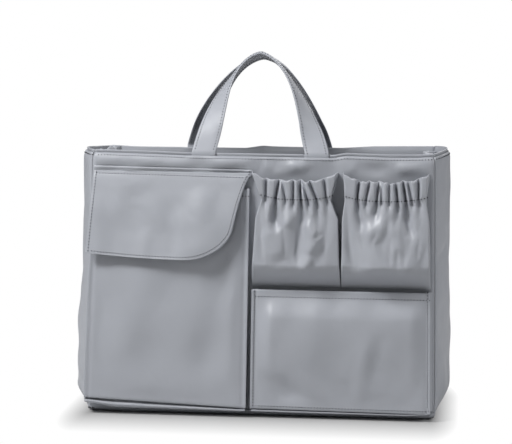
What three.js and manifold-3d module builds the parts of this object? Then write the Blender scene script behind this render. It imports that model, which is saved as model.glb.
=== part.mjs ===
// Purse organizer insert: a free-standing soft box of coated cloth over foam and a base board. Its front has
// a flapped bellows pocket, a flat bellows pocket and two gathered bottle pockets; two gathered pockets sit
// on its inner ends and two straps carry it. Millimetres, +Z up, the front faces -Y, and the origin is the
// middle of the underside.
import * as THREE from 'three';
import Module from 'manifold-3d';

const { Vector3 } = THREE;
const { lerp } = THREE.MathUtils;

// Body
const bodyHeight = 274;
const bodyDepth = 132;
const rimWidth = 358;
const baseFlare = 5;
const leftEndBow = 19;
const leftBowRise = 32;
const rightEndBow = 14;
const rightBowRise = 52;
const backPanelBow = 10;
const backCrease = -11;
const backBowPower = 1.5;

// Cloth, foam and board, by thickness, and the clearance kept between neighbouring plies
const shellPly = 0.9;
const foamPly = 2;
const liningPly = 0.6;
const facingPly = 1.2;
const boardPly = 2;
const tapePly = 1;
const elasticPly = 1;
const plyGap = 0.4;

// Base and rim
const lipHeight = 5;
const baseCornerRadius = 8;
const rimStep = 3;
const facingHeight = 14;

// Bellows pockets on the front
const pocketMargin = 3;
const pocketLane = 4.5;
const pocketCrown = 3;
const gussetPleat = 6;
const gussetFlare = 2;
const hemHeight = 9;
const largePocketWidth = 163;
const largePocketSill = 14;
const largePocketBottomDepth = 18;
const largePocketTopDepth = 7;
const lowerPocketSill = 9;
const lowerPocketMouth = 133.5;
const lowerPocketBottomDepth = 15;
const lowerPocketTopDepth = 10;

// Flap over the large pocket
const flapHingeDrop = 22;
const flapMouthDrop = 14;
const flapDrop = 88;
const flapLeftLift = 5;
const flapOverhang = 2;
const flapLeftFlare = 6;
const flapTaper = 24;
const flapTaperPower = 0.6;
const flapCornerStart = 55;
const flapCornerWidth = 45;
const flapRoll = 60;
const flapRollShare = 0.6;
const flapBandHeight = 5;
const flapHingePlay = 1.3;
const flapHingeStart = 0.5;
const flapWallGap = 0.6;
const flapLiningInset = 1.5;
const closureWidth = 60;
const closureHeight = 20;
const closureRise = 9;

// Gathered pockets: bottle pockets on the front, end pockets inside
const bottlePocketLane = 2;
const bottlePocketDrop = 20;
const bottleMouthTaper = 5;
const bottlePocketBelly = 24;
const bottleHeaderStand = 16;
const bottleHeaderDroop = 7;
const pouchLift = 3;
const headerHeight = 18;
const gatherDepth = 1.6;
const gatherCount = 9;
const pouchBottomRound = 0.22;
const pouchSidePower = 6;
const pouchTopPower = 4;
const elasticWidth = 8;
const endPocketFront = -24;
const endPocketBack = 54;
const endPocketSill = 130;
const endPocketDrop = 8;
const endPocketBelly = 22;
const endHeaderStand = 15;
const endHeaderDroop = 3;

// Straps
const strapWidth = 24;
const strapPly = 1.6;
const strapArchHeight = 111;
const strapArchPower = 2.3;
const frontStrapSpread = 118;
const frontStrapCentre = -3;
const backStrapSpread = 134;
const strapTail = 26;
const strapHingeLift = 0.6;
const strapFootGap = 0.5;
const strapTailDrop = 2.4;
const strapFootShares = 8;

// Facets: how many flats stand for each curve
const depthFlats = 7;
const widthFlats = 6;
const riseFlats = 6;
const heightFlats = 4;
const cornerFlats = 6;
const panelColumns = 10;
const panelRows = 8;
const flapColumns = 8;
const flapRollRows = 8;
const flapHangRows = 9;
const tapeColumns = 4;
const pouchColumns = 14;
const pouchRises = [0, 0.02, 0.06, 0.12, 0.22, 0.4, 0.6, 0.8, 0.92, 1];
const gatherFlats = 4;
const elasticColumns = 16;
const strapCurvePoints = 60;
const strapRows = 44;
const edgeShare = 0.004;

const halfDepth = bodyDepth / 2;
const flapHingeHeight = bodyHeight - flapHingeDrop;
const largePocketMouth = flapHingeHeight - flapMouthDrop;
const alongX = () => new Vector3(1, 0, 0);
const alongY = () => new Vector3(0, 1, 0);
const alongZ = () => new Vector3(0, 0, 1);

const wasm = await Module();
wasm.setup();

// Even steps from low to high.
function steps(low, high, count) {
  return Array.from({ length: count + 1 }, (_, index) => lerp(low, high, index / count));
}

// Stations on one common pitch from low to high, so that neighbouring plies bend along the same lines.
function stations(low, high, pitch) {
  const list = [low];
  const shortest = pitch / 4;
  for (let at = Math.ceil((low + shortest) / pitch) * pitch; at < high - shortest; at += pitch) {
    list.push(at);
  }
  list.push(high);
  return list;
}

function signedVolume(points, faces) {
  let volume = 0;
  const corner = (index) => new Vector3().fromArray(points, 3 * faces[index]);
  for (let index = 0; index < faces.length; index += 3) {
    volume += corner(index).dot(corner(index + 1).cross(corner(index + 2))) / 6;
  }
  return volume;
}

function solid(points, faces) {
  const geometry = new THREE.BufferGeometry();
  geometry.setAttribute('position', new THREE.Float32BufferAttribute(points, 3));
  if (signedVolume(points, faces) < 0) {
    faces.reverse();
  }
  geometry.setIndex(faces);
  return geometry;
}

// One ply of cloth as a closed solid: place(a, b) is its middle surface at each column and row, thickened by
// half each way along across(a, b).
function ply(place, across, thickness, columns, rows) {
  const points = [];
  const faces = [];
  const stride = columns.length;
  const layer = stride * rows.length;
  const quad = (a, b, c, d) => faces.push(a, b, c, a, c, d);
  const edge = (a, b) => quad(b, a, a + layer, b + layer);
  for (const side of [0.5, -0.5]) {
    for (const b of rows) {
      for (const a of columns) {
        const point = place(a, b).addScaledVector(across(a, b), side * thickness);
        points.push(point.x, point.y, point.z);
      }
    }
  }
  for (let row = 0; row < rows.length - 1; row += 1) {
    for (let column = 0; column < stride - 1; column += 1) {
      const low = row * stride + column;
      const high = low + stride;
      quad(low, low + 1, high + 1, high);
      quad(layer + low, layer + high, layer + high + 1, layer + low + 1);
    }
    edge(row * stride + stride - 1, (row + 2) * stride - 1);
    edge((row + 1) * stride, row * stride);
  }
  for (let column = 0; column < stride - 1; column += 1) {
    edge(column, column + 1);
    edge(layer - stride + column + 1, layer - stride + column);
  }
  return solid(points, faces);
}

// The unit normal of a surface, taken from small steps along its columns and rows.
function normalOf(place) {
  const step = 1e-3;
  return (a, b) => {
    const along = place(a + step, b).sub(place(a - step, b));
    const up = place(a, b + step).sub(place(a, b - step));
    return along.cross(up).normalize();
  };
}

function subtract(kept, removed) {
  const asManifold = (geometry) => {
    const position = geometry.getAttribute('position').array;
    const triVerts = Uint32Array.from({ length: position.length / 3 }, (_, index) => index);
    const mesh = new wasm.Mesh({ numProp: 3, vertProperties: Float32Array.from(position), triVerts });
    mesh.merge();
    return new wasm.Manifold(mesh);
  };
  const result = asManifold(kept).subtract(asManifold(removed)).getMesh();
  return solid(Array.from(result.vertProperties), Array.from(result.triVerts));
}

// Materials: satin coated cloth, its darker lining, and the stiffeners and trims inside.
const shellCloth = { color: 0x9b9ea6, roughness: 0.55, metalness: 0 };
const liningCloth = { color: 0x8b8e96, roughness: 0.65, metalness: 0 };
const foamStuff = { color: 0xd8d8d4, roughness: 0.9, metalness: 0 };
const boardStuff = { color: 0x3c3d40, roughness: 0.6, metalness: 0 };
const elasticStuff = { color: 0xb9babd, roughness: 0.8, metalness: 0 };
const tapeStuff = { color: 0x7f828a, roughness: 0.95, metalness: 0 };

const organizer = new THREE.Group();
organizer.name = 'purse_organizer_insert';

function add(name, geometry, look) {
  const mesh = new THREE.Mesh(geometry, new THREE.MeshStandardMaterial(look));
  mesh.name = name;
  organizer.add(mesh);
  return mesh;
}

// Walls. Each wall is a stack of plies, and a ply's inset is how far its middle lies inside the outer face.
const shellInset = shellPly / 2;
const foamInset = shellPly + plyGap + foamPly / 2;
const linerFace = shellPly + plyGap + foamPly + plyGap;
const liningInset = linerFace + liningPly / 2;
const facingInset = linerFace + facingPly / 2;
const wallFoot = lipHeight + plyGap;
const shellTop = bodyHeight - rimStep;
const liningTop = bodyHeight - facingHeight - plyGap;
const facingFoot = bodyHeight - facingHeight;
const strappedFoamTop = bodyHeight - strapTail - plyGap;

const halfWidth = (z) => rimWidth / 2 + baseFlare * (1 - z / bodyHeight);

// Each end panel swells outward, from nothing at its foot to its full bow some way up.
function endBow(side, y, z) {
  const [bow, height] = side < 0 ? [leftEndBow, leftBowRise] : [rightEndBow, rightBowRise];
  const above = THREE.MathUtils.clamp((z - lipHeight) / height, 0, 1);
  const rise = Math.sin(above * Math.PI / 2);
  return bow * rise * (1 - (y / halfDepth) ** 2);
}

// The back panel bows out to an upright fold crease.
function backBow(x, z) {
  const corner = x < backCrease ? -halfWidth(z) : halfWidth(z);
  const inward = Math.max(0, (corner - x) / (corner - backCrease));
  return backPanelBow * (z / bodyHeight) * inward ** backBowPower;
}

// A ply stops short of the neighbouring wall's ply at the corner seam.
const cornerSet = (inset, thickness) => inset + thickness / 2 + plyGap;

function frontWall(inset, thickness, low, high) {
  const place = (share, z) => {
    const reach = halfWidth(z) - cornerSet(inset, thickness);
    return new Vector3(share * reach, -(halfDepth - inset), z);
  };
  return ply(place, alongY, thickness, [-1, 1], [low, high]);
}

function backWall(inset, thickness, low, high) {
  const place = (x, z) => {
    const reach = halfWidth(z) - cornerSet(inset, thickness);
    const at = THREE.MathUtils.clamp(x, -reach, reach);
    return new Vector3(at, halfDepth - inset + backBow(at, z), z);
  };
  const reach = halfWidth(low) - cornerSet(inset, thickness);
  const columns = stations(-reach, reach, rimWidth / 2 / widthFlats);
  return ply(place, alongY, thickness, columns, stations(low, high, bodyHeight / heightFlats));
}

function endWall(side, inset, thickness, low, high) {
  const place = (y, z) => new Vector3(side * (halfWidth(z) - inset + endBow(side, y, z)), y, z);
  const reach = halfDepth - cornerSet(inset, thickness);
  const columns = steps(-reach, reach, 2 * depthFlats);
  const rise = side < 0 ? leftBowRise : rightBowRise;
  const levels = steps(lipHeight, lipHeight + rise, riseFlats);
  const bends = levels.filter((z) => z > low + plyGap && z < high - plyGap);
  return ply(place, alongX, thickness, columns, [low, ...bends, high]);
}

const walls = {
  front: { make: frontWall, foamTop: strappedFoamTop },
  back: { make: backWall, foamTop: strappedFoamTop },
  left_end: { make: (...sizes) => endWall(-1, ...sizes), foamTop: shellTop - rimStep },
  right_end: { make: (...sizes) => endWall(1, ...sizes), foamTop: shellTop - rimStep },
};

for (const [name, wall] of Object.entries(walls)) {
  add(`${name}_shell`, wall.make(shellInset, shellPly, wallFoot, shellTop), shellCloth);
  add(`${name}_foam`, wall.make(foamInset, foamPly, wallFoot, wall.foamTop), foamStuff);
  add(`${name}_lining`, wall.make(liningInset, liningPly, wallFoot, liningTop), liningCloth);
  add(`${name}_rim_facing`, wall.make(facingInset, facingPly, facingFoot, bodyHeight), shellCloth);
}

// Base: a bottom panel whose edge turns up to the base seam, with a board and a lining lying in it.
function roundedPlate(inset, thickness, floor) {
  const halfX = halfWidth(0) - inset;
  const halfY = halfDepth - inset;
  const radius = Math.max(1, baseCornerRadius - inset);
  const outline = new THREE.Shape();
  outline.moveTo(-halfX + radius, -halfY);
  outline.lineTo(halfX - radius, -halfY);
  outline.absarc(halfX - radius, -halfY + radius, radius, -Math.PI / 2, 0);
  outline.lineTo(halfX, halfY - radius);
  outline.absarc(halfX - radius, halfY - radius, radius, 0, Math.PI / 2);
  outline.lineTo(-halfX + radius, halfY);
  outline.absarc(-halfX + radius, halfY - radius, radius, Math.PI / 2, Math.PI);
  outline.lineTo(-halfX, -halfY + radius);
  outline.absarc(-halfX + radius, -halfY + radius, radius, Math.PI, 1.5 * Math.PI);
  const settings = { depth: thickness, bevelEnabled: false, curveSegments: cornerFlats };
  const plate = new THREE.ExtrudeGeometry(outline, settings);
  plate.translate(0, 0, floor);
  return plate;
}

const boardFloor = shellPly + plyGap;
const bottomLiningFloor = boardFloor + boardPly + plyGap;
const trayHollow = roundedPlate(shellPly, lipHeight, shellPly);
add('bottom_shell', subtract(roundedPlate(0, lipHeight, 0), trayHollow), shellCloth);
add('base_board', roundedPlate(shellPly + plyGap, boardPly, boardFloor), boardStuff);
add('bottom_lining', roundedPlate(shellPly + plyGap, liningPly, bottomLiningFloor), liningCloth);

// Bellows pockets: a front panel standing off the wall on pleated side gussets and a bottom gusset.
const outerSeam = (z) => halfWidth(z) - pocketMargin;
const largeRight = largePocketWidth - outerSeam(bodyHeight);
const rightBlockLeft = largeRight + pocketLane;

const largePocket = {
  left: (z) => -outerSeam(z),
  right: () => largeRight,
  flare: { left: 0, right: 0 },
  sill: largePocketSill,
  mouth: largePocketMouth,
  bottomDepth: largePocketBottomDepth,
  topDepth: largePocketTopDepth,
};

const lowerPocket = {
  left: () => rightBlockLeft,
  right: (z) => outerSeam(z) - gussetFlare,
  flare: { left: 0, right: gussetFlare },
  sill: lowerPocketSill,
  mouth: lowerPocketMouth,
  bottomDepth: lowerPocketBottomDepth,
  topDepth: lowerPocketTopDepth,
};

function panelDepth(pocket, z) {
  return lerp(pocket.bottomDepth, pocket.topDepth, (z - pocket.sill) / (pocket.mouth - pocket.sill));
}

// A point of a pocket's front panel, lifted outward from the panel's middle.
function onPanel(pocket, x, z, lift) {
  const across = 2 * (x - pocket.left(z)) / (pocket.right(z) - pocket.left(z)) - 1;
  const rise = (z - pocket.sill) / (pocket.mouth - pocket.sill);
  const crown = pocketCrown * (1 - across ** 2) * Math.sin(Math.PI * rise);
  return new Vector3(x, -(halfDepth + panelDepth(pocket, z) + crown + lift), z);
}

const rowsOf = (pocket) => steps(pocket.sill, pocket.mouth, panelRows);

function panelFront(pocket) {
  const place = (share, z) => onPanel(pocket, lerp(pocket.left(z), pocket.right(z), share), z, 0);
  return ply(place, alongY, shellPly, steps(0, 1, panelColumns), rowsOf(pocket));
}

// The hem is the mouth's turned-in edge, behind the panel and clear of the side pleats.
function panelHem(pocket) {
  const lift = -(shellPly + plyGap);
  const clear = gussetPleat + shellPly + plyGap;
  const place = (share, z) => {
    const x = lerp(pocket.left(z) + clear, pocket.right(z) - clear, share);
    return onPanel(pocket, x, z, lift);
  };
  const rows = [pocket.mouth - hemHeight, pocket.mouth];
  return ply(place, alongY, shellPly, steps(0, 1, panelColumns), rows);
}

// A side gusset runs from the wall, in by one pleat, and out to the panel's edge.
function sideGusset(pocket, side) {
  const inward = side === 'left' ? 1 : -1;
  const place = (share, z) => {
    const edge = pocket[side](z) + inward * shellPly / 2;
    const wallDepth = plyGap;
    const panelBack = panelDepth(pocket, z) - shellPly / 2 - plyGap;
    const pleat = gussetPleat * (1 - Math.abs(2 * share - 1));
    const flare = pocket.flare[side] * (1 - share);
    return new Vector3(edge + inward * (pleat - flare), -(halfDepth + lerp(wallDepth, panelBack, share)), z);
  };
  const foot = pocket.sill + plyGap;
  return ply(place, alongX, shellPly, [0, 0.5, 1], [foot, ...rowsOf(pocket).slice(1)]);
}

function bottomGusset(pocket) {
  const place = (x, share) => {
    const depth = lerp(plyGap, pocket.bottomDepth + shellPly / 2, share);
    const front = pocket.sill - shellPly / 2 - plyGap;
    return new Vector3(x, -(halfDepth + depth), lerp((lipHeight + front) / 2, front, share));
  };
  const clear = shellPly;
  return ply(place, alongZ, shellPly, [pocket.left(0) + clear, pocket.right(0) - clear], [0, 1]);
}

for (const [name, pocket] of Object.entries({ large_pocket: largePocket, lower_pocket: lowerPocket })) {
  add(`${name}_front`, panelFront(pocket), shellCloth);
  add(`${name}_hem`, panelHem(pocket), shellCloth);
  add(`${name}_left_gusset`, sideGusset(pocket, 'left'), shellCloth);
  add(`${name}_right_gusset`, sideGusset(pocket, 'right'), shellCloth);
  add(`${name}_bottom_gusset`, bottomGusset(pocket), shellCloth);
}

// Flap: two plies that roll out from the hinge seam over the pocket's mouth and hang in front of it, with a
// hook tape meeting a loop tape on the pocket.
const flapPlies = shellPly + plyGap + liningPly;
const flapHingeOut = flapWallGap + liningPly + plyGap + shellPly / 2;
const flapBottom = flapHingeHeight - flapDrop;
const closureLow = flapBottom + closureRise;
const closureHigh = closureLow + closureHeight;
const closureStack = 2 * tapePly + 3 * plyGap;
const panelFace = panelDepth(largePocket, closureLow) + pocketCrown + shellPly / 2;
const standAtClosure = panelFace + closureStack + flapPlies - shellPly / 2;
const standAtMouth = largePocketTopDepth + shellPly / 2 + 2 * plyGap + flapPlies - shellPly / 2;
const flapRollOut = (drop) => Math.sin(Math.min(1, drop / flapRoll) * Math.PI / 2);
const rollAtMouth = flapRollOut(flapMouthDrop);
const flapStand = Math.max(standAtClosure, flapHingeOut + (standAtMouth - flapHingeOut) / rollAtMouth);
const flapLeft = -outerSeam(flapHingeHeight);
const flapLeftEdge = (drop) => flapLeft - flapLeftFlare * drop / flapDrop;
const flapRight = largeRight + flapOverhang;

function flapRightEdge(drop) {
  const corner = Math.min(1, Math.max(0, (drop - flapCornerStart) / (flapDrop - flapCornerStart)));
  const rounding = flapCornerWidth * (1 - Math.sqrt(1 - corner ** 2));
  return flapRight - flapTaper * (drop / flapDrop) ** flapTaperPower - rounding;
}

// The flap's shell ply at a place across it and a distance down it.
function flapProfile(x, drop) {
  const out = lerp(flapHingeOut, flapStand, flapRollOut(drop));
  return new Vector3(x, -(halfDepth + out), flapHingeHeight - drop);
}

const flapNormal = normalOf(flapProfile);

function onFlap(x, drop, inset) {
  const point = flapProfile(x, drop);
  const outward = flapNormal(x, drop);
  if (outward.y > 0) {
    outward.negate();
  }
  return point.addScaledVector(outward, -inset);
}

// Both plies share the rows of the roll, so that they bend together, and part ways only at the free edge.
function flapPly(edgeInset, inset, thickness) {
  const dropTo = (end, fall) => {
    const hanging = Math.max(0, fall - flapRollShare) / (1 - flapRollShare);
    const rolling = Math.min(1, fall / flapRollShare);
    return lerp(flapHingeStart, flapRoll, rolling) + (end - flapRoll) * hanging;
  };
  const dropAt = (share, fall) => dropTo(flapDrop - edgeInset - flapLeftLift * (1 - share) ** 2, fall);
  const place = (share, fall) => {
    const fullDrop = dropTo(flapDrop, fall);
    const left = flapLeftEdge(fullDrop) + edgeInset;
    const right = flapRightEdge(fullDrop) - edgeInset;
    return onFlap(lerp(left, right, share), dropAt(share, fall), inset);
  };
  const across = (share, fall) => flapNormal(0, dropAt(share, fall));
  const turns = steps(0, Math.PI / 2, flapHangRows);
  const hangingRows = turns.map((turn) => lerp(flapRollShare, 1, Math.sin(turn)));
  const rows = [...steps(0, flapRollShare, flapRollRows), ...hangingRows.slice(1)];
  return ply(place, across, thickness, steps(0, 1, flapColumns), rows);
}

const flapLiningDepth = shellPly / 2 + plyGap + liningPly / 2;
const hookDepth = flapLiningDepth + liningPly / 2 + plyGap + tapePly / 2;
const closureMiddle = (flapLeft + flapRightEdge(flapDrop)) / 2;
const closureLeft = closureMiddle - closureWidth / 2;
const closureColumns = steps(closureLeft, closureLeft + closureWidth, tapeColumns);
const closureRows = [closureLow, closureHigh];

add('flap_shell', flapPly(0, 0, shellPly), shellCloth);
add('flap_lining', flapPly(flapLiningInset, flapLiningDepth, liningPly), liningCloth);
add('flap_hook_tape', ply(
  (x, z) => onFlap(x, flapHingeHeight - z, hookDepth), alongY, tapePly, closureColumns, closureRows,
), tapeStuff);
add('large_pocket_loop_tape', ply(
  (x, z) => onPanel(largePocket, x, z, shellPly / 2 + plyGap + tapePly / 2),
  alongY, tapePly, closureColumns, closureRows,
), tapeStuff);

const bandFoot = flapHingeHeight + flapHingePlay;
add('flap_seam_band', ply(
  (x, z) => new Vector3(x, -(halfDepth + plyGap + shellPly), z),
  alongY, 2 * shellPly, [flapLeft, flapRight], [bandFoot, bandFoot + flapBandHeight],
), shellCloth);

// Gathered pockets: a bellied pouch, a pleated header casing above it and the elastic inside the casing.
// seat(s, z) is the wall at s from -1 to 1 across the pocket, and out is the direction it stands off.
function gatheredPocket(name, pocket) {
  const skin = plyGap + shellPly / 2;
  const droop = (s) => pocket.droop * (1 - s ** 2);
  const elasticLine = (s) => pocket.top - headerHeight - droop(s);
  const off = (s, z, stand) => pocket.seat(s, z).addScaledVector(pocket.out, skin + stand);
  const headerStand = (s) => pocket.headerStand * (1 - s ** 2);

  const pouch = (s, rise) => {
    const z = lerp(pocket.sill, elasticLine(s) - plyGap, rise);
    const under = 1 - Math.min(1, Math.max(0, rise / pouchBottomRound));
    const round = Math.sqrt(Math.max(0, 1 - under ** 2));
    const belly = pocket.belly * round * (1 - Math.abs(s) ** pouchSidePower);
    return off(s, z, lerp(belly, headerStand(s), rise ** pouchTopPower));
  };
  const bend = steps(-1, 1, pouchColumns).map((share) => Math.sin(share * Math.PI / 2));
  const outward = normalOf(pouch);
  const within = (value, low) => Math.max(low + edgeShare, Math.min(1 - edgeShare, value));
  const pouchNormal = (s, rise) => outward(within(s, -1), within(rise, 0));
  add(`${name}_pouch`, ply(pouch, pouchNormal, shellPly, bend, pouchRises), shellCloth);

  const casing = (s, rise) => {
    const z = lerp(elasticLine(s), pocket.top - droop(s), rise);
    const gather = gatherDepth * (1 - Math.cos((s + 1) * Math.PI * gatherCount)) / 2;
    const fade = Math.min(1, headerStand(s) / (2 * gatherDepth));
    return off(s, z, headerStand(s) + gather * fade);
  };
  const outwards = () => pocket.out;
  const pleats = steps(-1, 1, gatherFlats * gatherCount);
  add(`${name}_header`, ply(casing, outwards, shellPly, pleats, [0, 0.5, 1]), shellCloth);

  const behind = shellPly / 2 + plyGap + elasticPly / 2;
  const reach = Math.sqrt(1 - (behind + elasticPly / 2 + plyGap) / pocket.headerStand);
  const band = (s, rise) => {
    const middle = pocket.top - headerHeight / 2 - droop(s);
    return off(s, middle + elasticWidth * rise, headerStand(s) - behind);
  };
  const bandColumns = steps(-reach, reach, elasticColumns);
  add(`${name}_elastic`, ply(band, outwards, elasticPly, bandColumns, [-0.5, 0.5]), elasticStuff);
}

const bottleWidth = (outerSeam(bodyHeight) - rightBlockLeft - bottlePocketLane) / 2;
const bottleSill = lowerPocketMouth + pouchLift;
const bottleTop = bodyHeight - bottlePocketDrop;

// The side seams of a bottle pocket draw in towards its mouth.
function bottlePocket(name, left) {
  const seamHalf = (z) => bottleWidth / 2 - bottleMouthTaper * (z - bottleSill) / (bottleTop - bottleSill);
  gatheredPocket(name, {
    seat: (s, z) => new Vector3(left + bottleWidth / 2 + s * seamHalf(z), -halfDepth, z),
    out: new Vector3(0, -1, 0),
    sill: bottleSill,
    top: bottleTop,
    belly: bottlePocketBelly,
    headerStand: bottleHeaderStand,
    droop: bottleHeaderDroop,
  });
}

bottlePocket('left_bottle_pocket', rightBlockLeft);
bottlePocket('right_bottle_pocket', rightBlockLeft + bottleWidth + bottlePocketLane);

function endPocket(name, side) {
  gatheredPocket(name, {
    seat: (s, z) => {
      const y = lerp(endPocketFront, endPocketBack, (s + 1) / 2);
      return new Vector3(side * (halfWidth(z) - linerFace - facingPly + endBow(side, y, z)), y, z);
    },
    out: new Vector3(-side, 0, 0),
    sill: endPocketSill,
    top: bodyHeight - endPocketDrop,
    belly: endPocketBelly,
    headerStand: endHeaderStand,
    droop: endHeaderDroop,
  });
}

endPocket('left_end_pocket', -1);
endPocket('right_end_pocket', 1);

// Straps: a flat strip that leaves the rim seam face on, arches up, and turns edge on at the crown. The two
// straps lean in until their crowns meet.
function strap(name, spread, centre, facing) {
  const half = spread / 2;
  const tailY = halfDepth - foamInset;
  const bow = (x, z) => (facing > 0 ? backBow(x, z) : 0);
  const footBow = (bow(centre - half, bodyHeight) + bow(centre + half, bodyHeight)) / 2;
  const footY = facing * (tailY + footBow);
  const hingeZ = bodyHeight + strapHingeLift;
  const arch = new THREE.CatmullRomCurve3(steps(-1, 1, strapCurvePoints).map((share) => new Vector3(
    half * share, 0, strapFootGap + strapArchHeight * (1 - Math.abs(share) ** strapArchPower),
  )));
  const face = new Vector3(0, facing, 0);
  const section = (share) => {
    const tangent = arch.getTangentAt(share);
    const outward = new Vector3(-tangent.z, 0, tangent.x);
    const turn = Math.PI / 2 * Math.sin(Math.PI * share);
    const normal = face.clone().multiplyScalar(Math.cos(turn)).addScaledVector(outward, Math.sin(turn));
    const width = normal.clone().cross(tangent).multiplyScalar(-facing).normalize();
    const free = Math.min(1, strapFootShares * Math.min(share, 1 - share));
    const level = new Vector3(Math.sign(share - 0.5), 0, 0);
    return { normal, width: level.lerp(width, free) };
  };
  const place = (side, share) => {
    const { width } = section(share);
    return arch.getPointAt(share).addScaledVector(width, side * strapWidth / 2);
  };
  const across = (side, share) => section(share).normal;
  const loop = ply(place, across, strapPly, [-1, 0, 1], steps(0, 1, strapRows));
  const crownY = strapWidth / 2 + plyGap;
  const lean = Math.asin((Math.abs(footY) - crownY) / strapArchHeight);
  loop.rotateX(facing * lean);
  loop.translate(centre, footY, hingeZ);
  add(`${name}_strap`, loop, shellCloth);

  for (const [tail, sign] of [['left', -1], ['right', 1]]) {
    const tailPlace = (x, z) => {
      const at = centre + sign * half + x;
      return new Vector3(at, facing * (tailY + bow(at, z)), z);
    };
    const rows = [bodyHeight - strapTail, hingeZ - strapTailDrop];
    const columns = steps(-strapWidth / 2, strapWidth / 2, tapeColumns);
    add(`${name}_strap_${tail}_tail`, ply(tailPlace, alongY, strapPly, columns, rows), shellCloth);
  }
}

strap('front', frontStrapSpread, frontStrapCentre, -1);
strap('back', backStrapSpread, backCrease, 1);

export default organizer;
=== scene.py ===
# %% [markdown]
# # Dressing a purse organizer insert
# The part is a soft, free-standing box of coated cloth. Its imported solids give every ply's place and every
# joint. This file turns each stiff ply into cloth: it repeats the ply's surface from the part's measures on a
# fine grid, adds the folds, gathers and seams that the real cloth has, and sews it with visible thread.

# %% Load the frame
import math

import bpy
import numpy as np
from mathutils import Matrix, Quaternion, Vector


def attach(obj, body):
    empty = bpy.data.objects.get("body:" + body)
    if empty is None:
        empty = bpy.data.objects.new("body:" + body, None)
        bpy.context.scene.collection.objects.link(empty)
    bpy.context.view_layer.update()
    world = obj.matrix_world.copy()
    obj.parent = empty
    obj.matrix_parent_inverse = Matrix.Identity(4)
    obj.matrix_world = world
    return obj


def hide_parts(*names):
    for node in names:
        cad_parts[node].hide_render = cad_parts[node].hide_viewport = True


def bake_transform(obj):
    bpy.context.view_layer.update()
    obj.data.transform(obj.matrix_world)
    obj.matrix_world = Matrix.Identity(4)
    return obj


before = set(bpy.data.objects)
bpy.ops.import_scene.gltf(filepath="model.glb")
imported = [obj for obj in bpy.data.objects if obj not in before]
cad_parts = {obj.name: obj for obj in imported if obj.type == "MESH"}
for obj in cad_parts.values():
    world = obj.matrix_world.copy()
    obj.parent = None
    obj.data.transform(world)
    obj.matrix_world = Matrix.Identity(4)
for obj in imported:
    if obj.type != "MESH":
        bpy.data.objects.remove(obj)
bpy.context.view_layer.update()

scene = bpy.context.scene

# %% [markdown]
# ## Colours and nodes
# Colours are written as the sRGB hex values that one reads off a swatch, and shaders want linear light, so
# one function converts them. Node trees are long to write by hand. One small function adds a node, sets it
# and links it, which keeps each material readable as a list of what it does.

# %% Colour and node helpers
def linear(hex_colour):
    """A swatch such as '9da0a8' as linear red, green, blue and alpha."""
    parts = [int(hex_colour[i:i + 2], 16) / 255 for i in (0, 2, 4)]
    return [c / 12.92 if c <= 0.04045 else ((c + 0.055) / 1.055) ** 2.4 for c in parts] + [1.0]


def set_inputs(tree, node, inputs):
    """Sets or links a node's inputs, by name or number. A node stands for its first output."""
    for key, value in inputs.items():
        value = value.outputs[0] if isinstance(value, bpy.types.Node) else value
        if isinstance(value, bpy.types.NodeSocket):
            tree.links.new(value, node.inputs[key])
        else:
            node.inputs[key].default_value = value


def add_node(tree, kind, inputs=None, **settings):
    """Adds a node with its settings and inputs."""
    made = tree.nodes.new(kind)
    for key, value in settings.items():
        setattr(made, key, value)
    set_inputs(tree, made, inputs or {})
    return made


def new_material(name):
    """An empty material, its node tree and its Principled shader."""
    material = bpy.data.materials.new(name)
    material.use_nodes = True
    return material, material.node_tree, material.node_tree.nodes["Principled BSDF"]


def add_object(name, data):
    """A new object with that data, put in the scene."""
    made = bpy.data.objects.new(name, data)
    scene.collection.objects.link(made)
    return made


print("mid grey 808080 is", round(linear("808080")[0], 3), "in linear light")

# %% [markdown]
# ## Coated polyester
# The shell is woven polyester with a thin polyurethane coat: smooth, satin, slightly blue grey. The coat
# gives broad soft highlights, and handling leaves shallow crumples that break them up. The weave is drawn on
# the cloth's own UV map, which is laid out in metres along the threads, so it follows every fold. Threads of
# the real cloth lie 0.25 mm apart, too fine to show, so the weave is drawn at 0.8 mm.

# %% Make a woven cloth
WEAVE_M = 0.0008  # thread pitch as drawn, 0.8 mm
CRUMPLE_M = 0.016  # crumples from handling, 16 mm across
DENT_M = 0.055  # patches of lighter and darker cloth, 55 mm across
SOFT_NOISE = {"Detail": 1.0, "Roughness": 0.4}


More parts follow.
